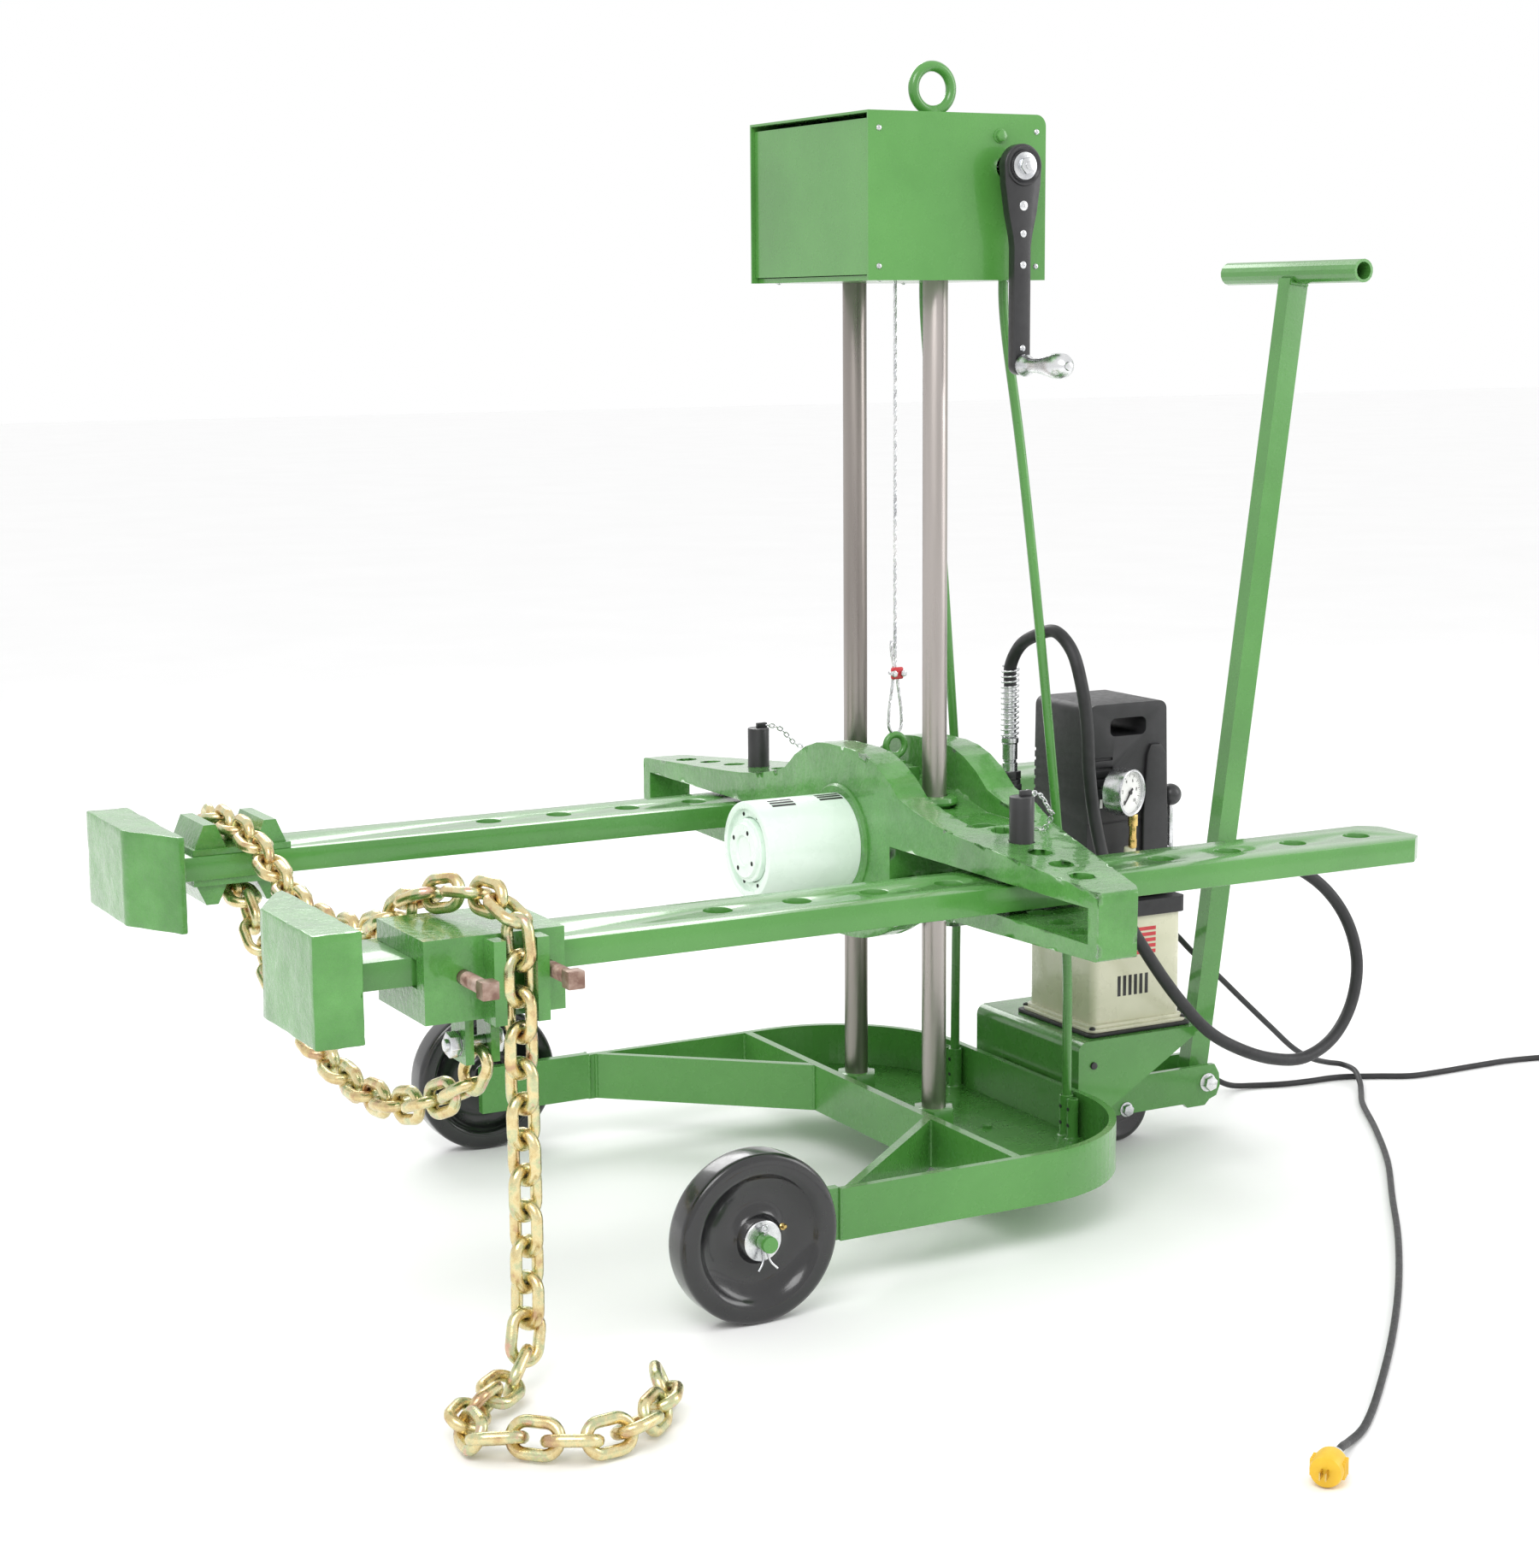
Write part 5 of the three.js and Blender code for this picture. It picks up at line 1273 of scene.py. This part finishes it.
# %% [markdown]
# ## Lift rope
# The wire rope is six strands laid round a core. Each strand is its own helix, which shows as the fine
# slanting pattern of a rope. It ends in a loop through the yoke's eye, closed by a bolted clip.

# %% Rope, loop and clip
ROPE_R = 2.4
DRUM_X, DRUM_Z, DRUM_R = 25, 1290, 21


def rope(line, radius, lay=22.0, strands=6):
    """Strands that wind round the line, one full turn every lay millimetres."""
    rows = frames(line)
    made = [tube(line, radius * 0.5, 6)]
    for k in range(strands):
        run, path = 0.0, []
        for i, (point, _, u, v) in enumerate(rows):
            run += (point - rows[i - 1][0]).length if i else 0.0
            t = 2 * math.pi * (run / lay + k / strands)
            path.append(point + (u * math.cos(t) + v * math.sin(t)) * radius * 0.62)
        made.append(tube(path, radius * 0.4, 5))
    return made


straight = [Vector((EYEBOLT_X, 0, 676 + 3 * i)) for i in range(206)]
rope_piece = finished("wire_rope", rope(straight, ROPE_R), ZINC, None, 60)
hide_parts("lift_rope")
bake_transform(rope_piece)
wound = [
    Vector(
        (
            DRUM_X + (DRUM_R + ROPE_R) * math.cos(t), -26 + 5.0 * t / (2 * math.pi),
            DRUM_Z + (DRUM_R + ROPE_R) * math.sin(t),
        ),
    )
    for t in [2 * math.pi * k / 30 for k in range(9 * 30)]
]
finished("wound_rope", [tube(wound, ROPE_R, 8)], ZINC, "winch", 60)
loop_points = [
    (EYEBOLT_X + 2.2, 0, 690), (EYEBOLT_X + 4, 0, 670), (EYEBOLT_X + 9.5, 0, 630), (EYEBOLT_X + 8.5, 0, 610),
    (EYEBOLT_X, 0, 601.5), (EYEBOLT_X - 8.5, 0, 610), (EYEBOLT_X - 9.5, 0, 630), (EYEBOLT_X - 4, 0, 670),
    (EYEBOLT_X - 2.2, 0, 690), (EYEBOLT_X - 5, 1, 712), (EYEBOLT_X - 4, 3, 726),
]
loop_line = [Vector(p) for p in spline(loop_points, 10)]
loop = finished("rope_loop", rope(loop_line, 2.2), ZINC, "yoke", 60)
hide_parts("rope_clip")
clip = [box(EYEBOLT_X - 9, EYEBOLT_X + 9, -7.5, -2.5, 676, 692, 2.4, 3)]
finished("rope_clip_saddle", clip, RED, "yoke")
staple = spline(
    [
        (EYEBOLT_X - 7, -13, 684), (EYEBOLT_X - 7, 2, 684), (EYEBOLT_X, 9, 684), (EYEBOLT_X + 7, 2, 684),
        (EYEBOLT_X + 7, -13, 684),
    ],
    8,
)
nuts = [hexagon((EYEBOLT_X + x, 684), "Y", 8, -12, -7.5, 0.3, 0.4) for x in (-7, 7)]
finished("rope_clip_staple", (tube(staple, 2.1, 12), *nuts), ZINC, "yoke", 50)
print("rope from", 676, "to", 676 + 3 * 205)

# %% [markdown]
# ## Hose coupler and pump
# A black hexagon coupler stands on the ram's port, then a bright ferrule and a coil spring that keeps the
# hose from kinking. The pump is a cream tank under a black shroud, with a gauge, a valve block and a lever
# with a black ball. The gauge gets a real dial: ticks, numbers and a needle on its own joint.

# %% Coupler and spring guard
port = (175, -10)
coupler = [
    hexagon(port, "Z", 30, RAM_Z + 40.4, RAM_Z + 56, 0.2, 1.4),
    rod("Z", (*port, 0), 15, RAM_Z + 55, RAM_Z + 62, 1.0), hexagon(port, "Z", 27, RAM_Z + 62, 541, 0.5, 1.2),
]
nut = finished("coupler_nut", coupler, BLACK_STEEL, "yoke", 35)
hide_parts("hose_coupler")
ferrule = [
    (6, 540), (10.5, 540), (10.5, 552), (9, 553), (9, 556), (10.5, 557), (10.5, 578), (12, 580), (12, 586),
    (8.7, 588), (8.7, 655), (6, 655), (6, 540),
]
finished("hose_ferrule", [lathe(ferrule, 40, "Z", (*port, 0))], ZINC, "yoke", 35)
guard_rows = frames(spline([(175, -10, 586), (175, -10, 620), (175, -10, 655), (175, -10.5, 682)], 60))
guard = []
run = 0.0
for i, (point, _, u, v) in enumerate(guard_rows):
    run += (point - guard_rows[i - 1][0]).length if i else 0.0
    t = 2 * math.pi * run / 7.2
    guard.append(point + (u * math.cos(t) + v * math.sin(t)) * 11.2)
finished("spring_guard", [tube(guard, 1.5, 8)], ZINC, "yoke", 60)
print("spring guard", round(run), "mm long")

# %% Tank, feet, mat and screws
TANK = {"x0": 250, "x1": 396, "y0": -104, "y1": 54, "z0": 190, "z1": 342}


def rounded_box(x0, x1, y0, y1, z0, z1, corner, bevel):
    """A box with round upright corners and eased ends."""
    outline = [
        *arc(x1 - corner, y1 - corner, corner, 0, 90, 6), *arc(x0 + corner, y1 - corner, corner, 90, 180, 6),
        *arc(x0 + corner, y0 + corner, corner, 180, 270, 6),
        *arc(x1 - corner, y0 + corner, corner, 270, 360, 6),
    ]
    return slab(outline, "Z", z0, z1, bevel)


tank = [
    rounded_box(TANK["x0"], TANK["x1"], TANK["y0"], TANK["y1"], 198, TANK["z1"], 12, 1.2),
    rounded_box(TANK["x0"] - 4, TANK["x1"] + 4, TANK["y0"] - 4, TANK["y1"] + 4, 193, 199, 13, 1.4),
    rounded_box(TANK["x0"] - 8, TANK["x1"] + 8, TANK["y0"] - 8, TANK["y1"] + 8, 189, 194, 14, 1.2),
]
reservoir = finished("pump_reservoir", tank, CREAM, "cart", 35)
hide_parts("pump_tank")
mat = rounded_box(TANK["x0"] - 12, TANK["x1"] + 10, TANK["y0"] - 12, TANK["y1"] + 12, 184.3, 189, 8, 0.8)
finished("pump_mat", [mat], RUBBER, "cart")
heads = [screw("Z", (x, y, 194), 4.5, 3) for x in (248, 398) for y in (-106, 56)]
finished("tank_screws", heads, BLACK_STEEL, "cart")
patch = []
for k in range(5):
    z = 326 - 8 * k
    patch.append(box(304, 352, TANK["y0"] - 0.35, TANK["y0"] + 0.2, z - 5, z, 0))
finished("tank_red_stripes", patch, RED, "cart")
patch = [box(290 + 9 * k, 295 + 9 * k, TANK["y0"] - 0.35, TANK["y0"] + 0.2, 234, 262, 0) for k in range(6)]
finished("tank_black_stripes", patch, INK, "cart")
print("tank", TANK["x1"] - TANK["x0"], "by", TANK["y1"] - TANK["y0"], "mm")

# %% Shroud with its handle opening, cowl and grooves
SHROUD = {"x0": 252, "x1": 378, "y0": -86, "y1": 44, "z0": 364, "z1": 632}
profile = [
    (SHROUD["x0"] - 4, SHROUD["z0"]), (SHROUD["x1"] + 6, SHROUD["z0"]), (SHROUD["x1"] + 3, 500),
    (SHROUD["x1"], SHROUD["z1"] - 14),
    *arc(SHROUD["x1"] - 12, SHROUD["z1"] - 12, 12, 0, 90, 6),
    *arc(SHROUD["x0"] + 12, SHROUD["z1"] - 12, 12, 90, 180, 6), (SHROUD["x0"] - 2, 500),
]
grip_hole = slab(
    [
        *arc(336, 604, 8, 0, 90, 5), *arc(294, 604, 8, 90, 180, 5), *arc(294, 596, 8, 180, 270, 5),
        *arc(336, 596, 8, 270, 360, 5),
    ],
    "Y", SHROUD["y0"] - 9, SHROUD["y1"] + 9, 0,
)
grooves = [box(246, 290, SHROUD["y0"] - 3, SHROUD["y0"] + 3, 556 - 13 * k, 560 - 13 * k, 0) for k in range(4)]
grooves += [
    box(246, 390, SHROUD["y1"] - 3, SHROUD["y1"] + 3, 556 - 13 * k, 560 - 13 * k, 0)
    for k in range(6)
]
panel_line = box(246, 392, SHROUD["y0"] - 1.2, SHROUD["y0"] + 1.2, 470, 472, 0)
tools = [grip_hole, *grooves, panel_line]
case = carved("shroud_case", [slab(profile, "Y", SHROUD["y0"], SHROUD["y1"], 0)], tools, 0.003, 3)
riding(case, PLASTIC, "cart", 35)
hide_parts("pump_shroud")
cowl_outline = [
    (338, 366), (381, 366), (379, 470), (374, 560), (366, 574), (350, 574), (344, 560), (338, 480),
]
cowl = slab(cowl_outline, "Y", SHROUD["y0"] - 6, SHROUD["y0"] + 4, 2.4, 3)
finished("shroud_cowl", [cowl], PLASTIC, "cart")
bars = [box(262 + 8 * k, 266 + 8 * k, SHROUD["y0"] - 0.4, SHROUD["y0"] + 0.2, 492, 504, 0) for k in range(4)]
finished("shroud_stripes", bars, DIAL, "cart")
print("shroud faces:", len(case.data.polygons))

# %% Gauge, its fittings and the valve lever
GAUGE_TURN = 0.38
gauge_facing = Matrix.Rotation(GAUGE_TURN, 4, "Z") @ Matrix.Rotation(math.pi / 2, 4, "X")
gauge_place = Matrix.Translation((293, -124, 517)) @ gauge_facing


def on_gauge(shape):
    return placed(shape, gauge_place)


can = [
    (0, -26), (29, -26), (31.4, -24), (32, -21), (32, 1), (31.4, 3), (30, 4), (28.4, 3), (28, 0), (28, -2.4),
    (0, -2.4),
]
gauge = finished(
    "gauge_case", [on_gauge(lathe(can, 72)), on_gauge(box(-6, 6, -6, 6, -44, -25, 1))], ZINC, "cart",
    35,
)
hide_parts("gauge")
finished("gauge_dial", [on_gauge(lathe([(0, -2.3), (28, -2.3), (28, -1.9), (0, -1.9)], 72))], DIAL, "cart")
ticks = []
for k in range(41):
    t = math.radians(225 - 270 * k / 40)
    long_one = k % 4 == 0
    inner, half = (21, 0.35) if long_one else (23.4, 0.18)
    tick = box(inner, 26, -half, half, -1.95, -1.7, 0)
    ticks.append(on_gauge(placed(tick, Matrix.Rotation(t, 4, "Z"))))
finished("gauge_ticks", ticks, INK, "cart")
for k in range(0, 11, 2):
    t = math.radians(225 - 27 * k)
    figure = bpy.data.curves.new(f"figure_{k}", "FONT")
    figure.body, figure.size, figure.extrude = str(k), 0.0065, 0.0001
    figure.align_x, figure.align_y = "CENTER", "CENTER"
    number = in_scene(f"figure_{k}", figure)
    bpy.context.view_layer.update()
    flat = bpy.data.meshes.new_from_object(number.evaluated_get(bpy.context.evaluated_depsgraph_get()))
    bpy.data.objects.remove(number)
    spot = Matrix.Translation((0, 0, -1.7)) @ Matrix.Translation(
        (17 * math.cos(t), 17 * math.sin(t), 0),
    ) @ Matrix.Scale(1000, 4)
    flat.transform(Matrix.Translation((SHIFT_X, 0, 0)) @ Matrix.Scale(0.001, 4) @ gauge_place @ spot)
    riding(in_scene(f"gauge_figure_{k}", flat), INK, "cart")
elbow = [
    hexagon((303, -116), "Z", 12, 470, 486, 0.2), rod("Z", (303, -116, 0), 5, 452, 472, 0.5),
    hexagon((303, -116), "Z", 10, 440, 453, 0.4),
]
finished("gauge_elbow", elbow, BRASS, "cart")
finished("gauge_adapter", [rod("Z", (303, -110, 0), 8, 414, 441, 1.4)], CREAM, "cart")
LEVER = (398, -70, 420)
ball = lathe(
    [
        (0, -15),
        *[(15 * math.cos(math.radians(a)), 15 * math.sin(math.radians(a))) for a in range(-80, 81, 10)],
        (0, 15),
    ],
    48, "Z", (LEVER[0], LEVER[1], LEVER[2] + 78),
)
handle = finished("valve_ball", [ball], BLACK_STEEL, "valve", 60)
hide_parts("valve_lever")
stem = [
    rod("Z", (LEVER[0], LEVER[1], 0), 4.5, LEVER[2] + 2, LEVER[2] + 66, 0.5),
    rod("Y", (LEVER[0], 0, LEVER[2]), 9, LEVER[1] - 9, LEVER[1] + 9, 1.2),
]
finished("valve_stem", stem, ZINC, "valve")
bolts = [hexagon((y, z), "X", 10, 413.6, 419, 0.2) for y in (-44, 10) for z in (374, 414)]
finished("valve_bolts", bolts, ZINC, "cart")
nut = [hexagon((-36, 396), "X", 26, 412, 431, 0.1, 1.2)]
finished("return_nut", nut, BLACK_STEEL, "cart")
boots = [box(396.3, 403, 20, 48, 212, 312, 1.4)]
for z in (296, 228):
    boot = [(4.4, 396.5), (11, 396.5), (11, 402), (9.6, 404)]
    for k in range(6):
        boot += [
            (8.8 - 0.35 * k, 405 + 4 * k), (8.8 - 0.35 * k, 407 + 4 * k), (7.4 - 0.3 * k, 407.4 + 4 * k),
            (7.4 - 0.3 * k, 408.6 + 4 * k),
        ]
    boot += [(5.6, 430), (4.4, 430), (4.4, 396.5)]
    boots.append(lathe(boot, 28, "X", (0, 34, z)))
entry = finished("cord_boots", boots, RUBBER, "cart", 40)
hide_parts("cord_entry")
print("gauge ticks:", len(ticks))

# %% [markdown]
# ## Tongue bolts and handle welds
# The tongue turns under the shelf and carries the caster. Bright hexagon bolts pin the handle and the caster
# axle, and a run of weld joins the handle's grip to its bar.

# %% Bolts on the tongue
HANDLE_X, HANDLE_Z = 494, 71
fast = []
for s in (-1, 1):
    for x, z, across, out in ((HANDLE_X, HANDLE_Z, 19, 11), (CASTER_X, CASTER_R, 15, 8)):
        a, b = sorted((s * 38.3, s * (38.3 + out)))
        fast.append(hexagon((x, z), "Y", across, a, b, 0.3, 1.0))
        a, b = sorted((s * 38.0, s * 39.6))
        fast.append(rod("Y", (x, 0, z), across * 0.7, a, b, 0.4))
finished("tongue_bolts", fast, ZINC, "swivel")
SHELF_BOLT_X, SHELF_BOLT_Z, SHELF_SIDE = 236, 150, 127
shelf_bolts = [
    rod("Y", (SHELF_BOLT_X, 0, SHELF_BOLT_Z), 5, s * SHELF_SIDE - 3, s * SHELF_SIDE + 3, 0.8) for s in (-1, 1)
]
finished("shelf_bolts", shelf_bolts, BLACK_STEEL, "cart")
tilt = Matrix.Translation((HANDLE_X, 0, HANDLE_Z)) @ Matrix.Rotation(0.135, 4, "Y")
bead = [weld((-15, y, 1126), (15, y, 1126), 3, 30 + y) for y in (-13, 13)]
finished("handle_weld", [placed(b, tilt) for b in bead], GREEN, "handle", 50)
print("tongue bolts:", len(fast))
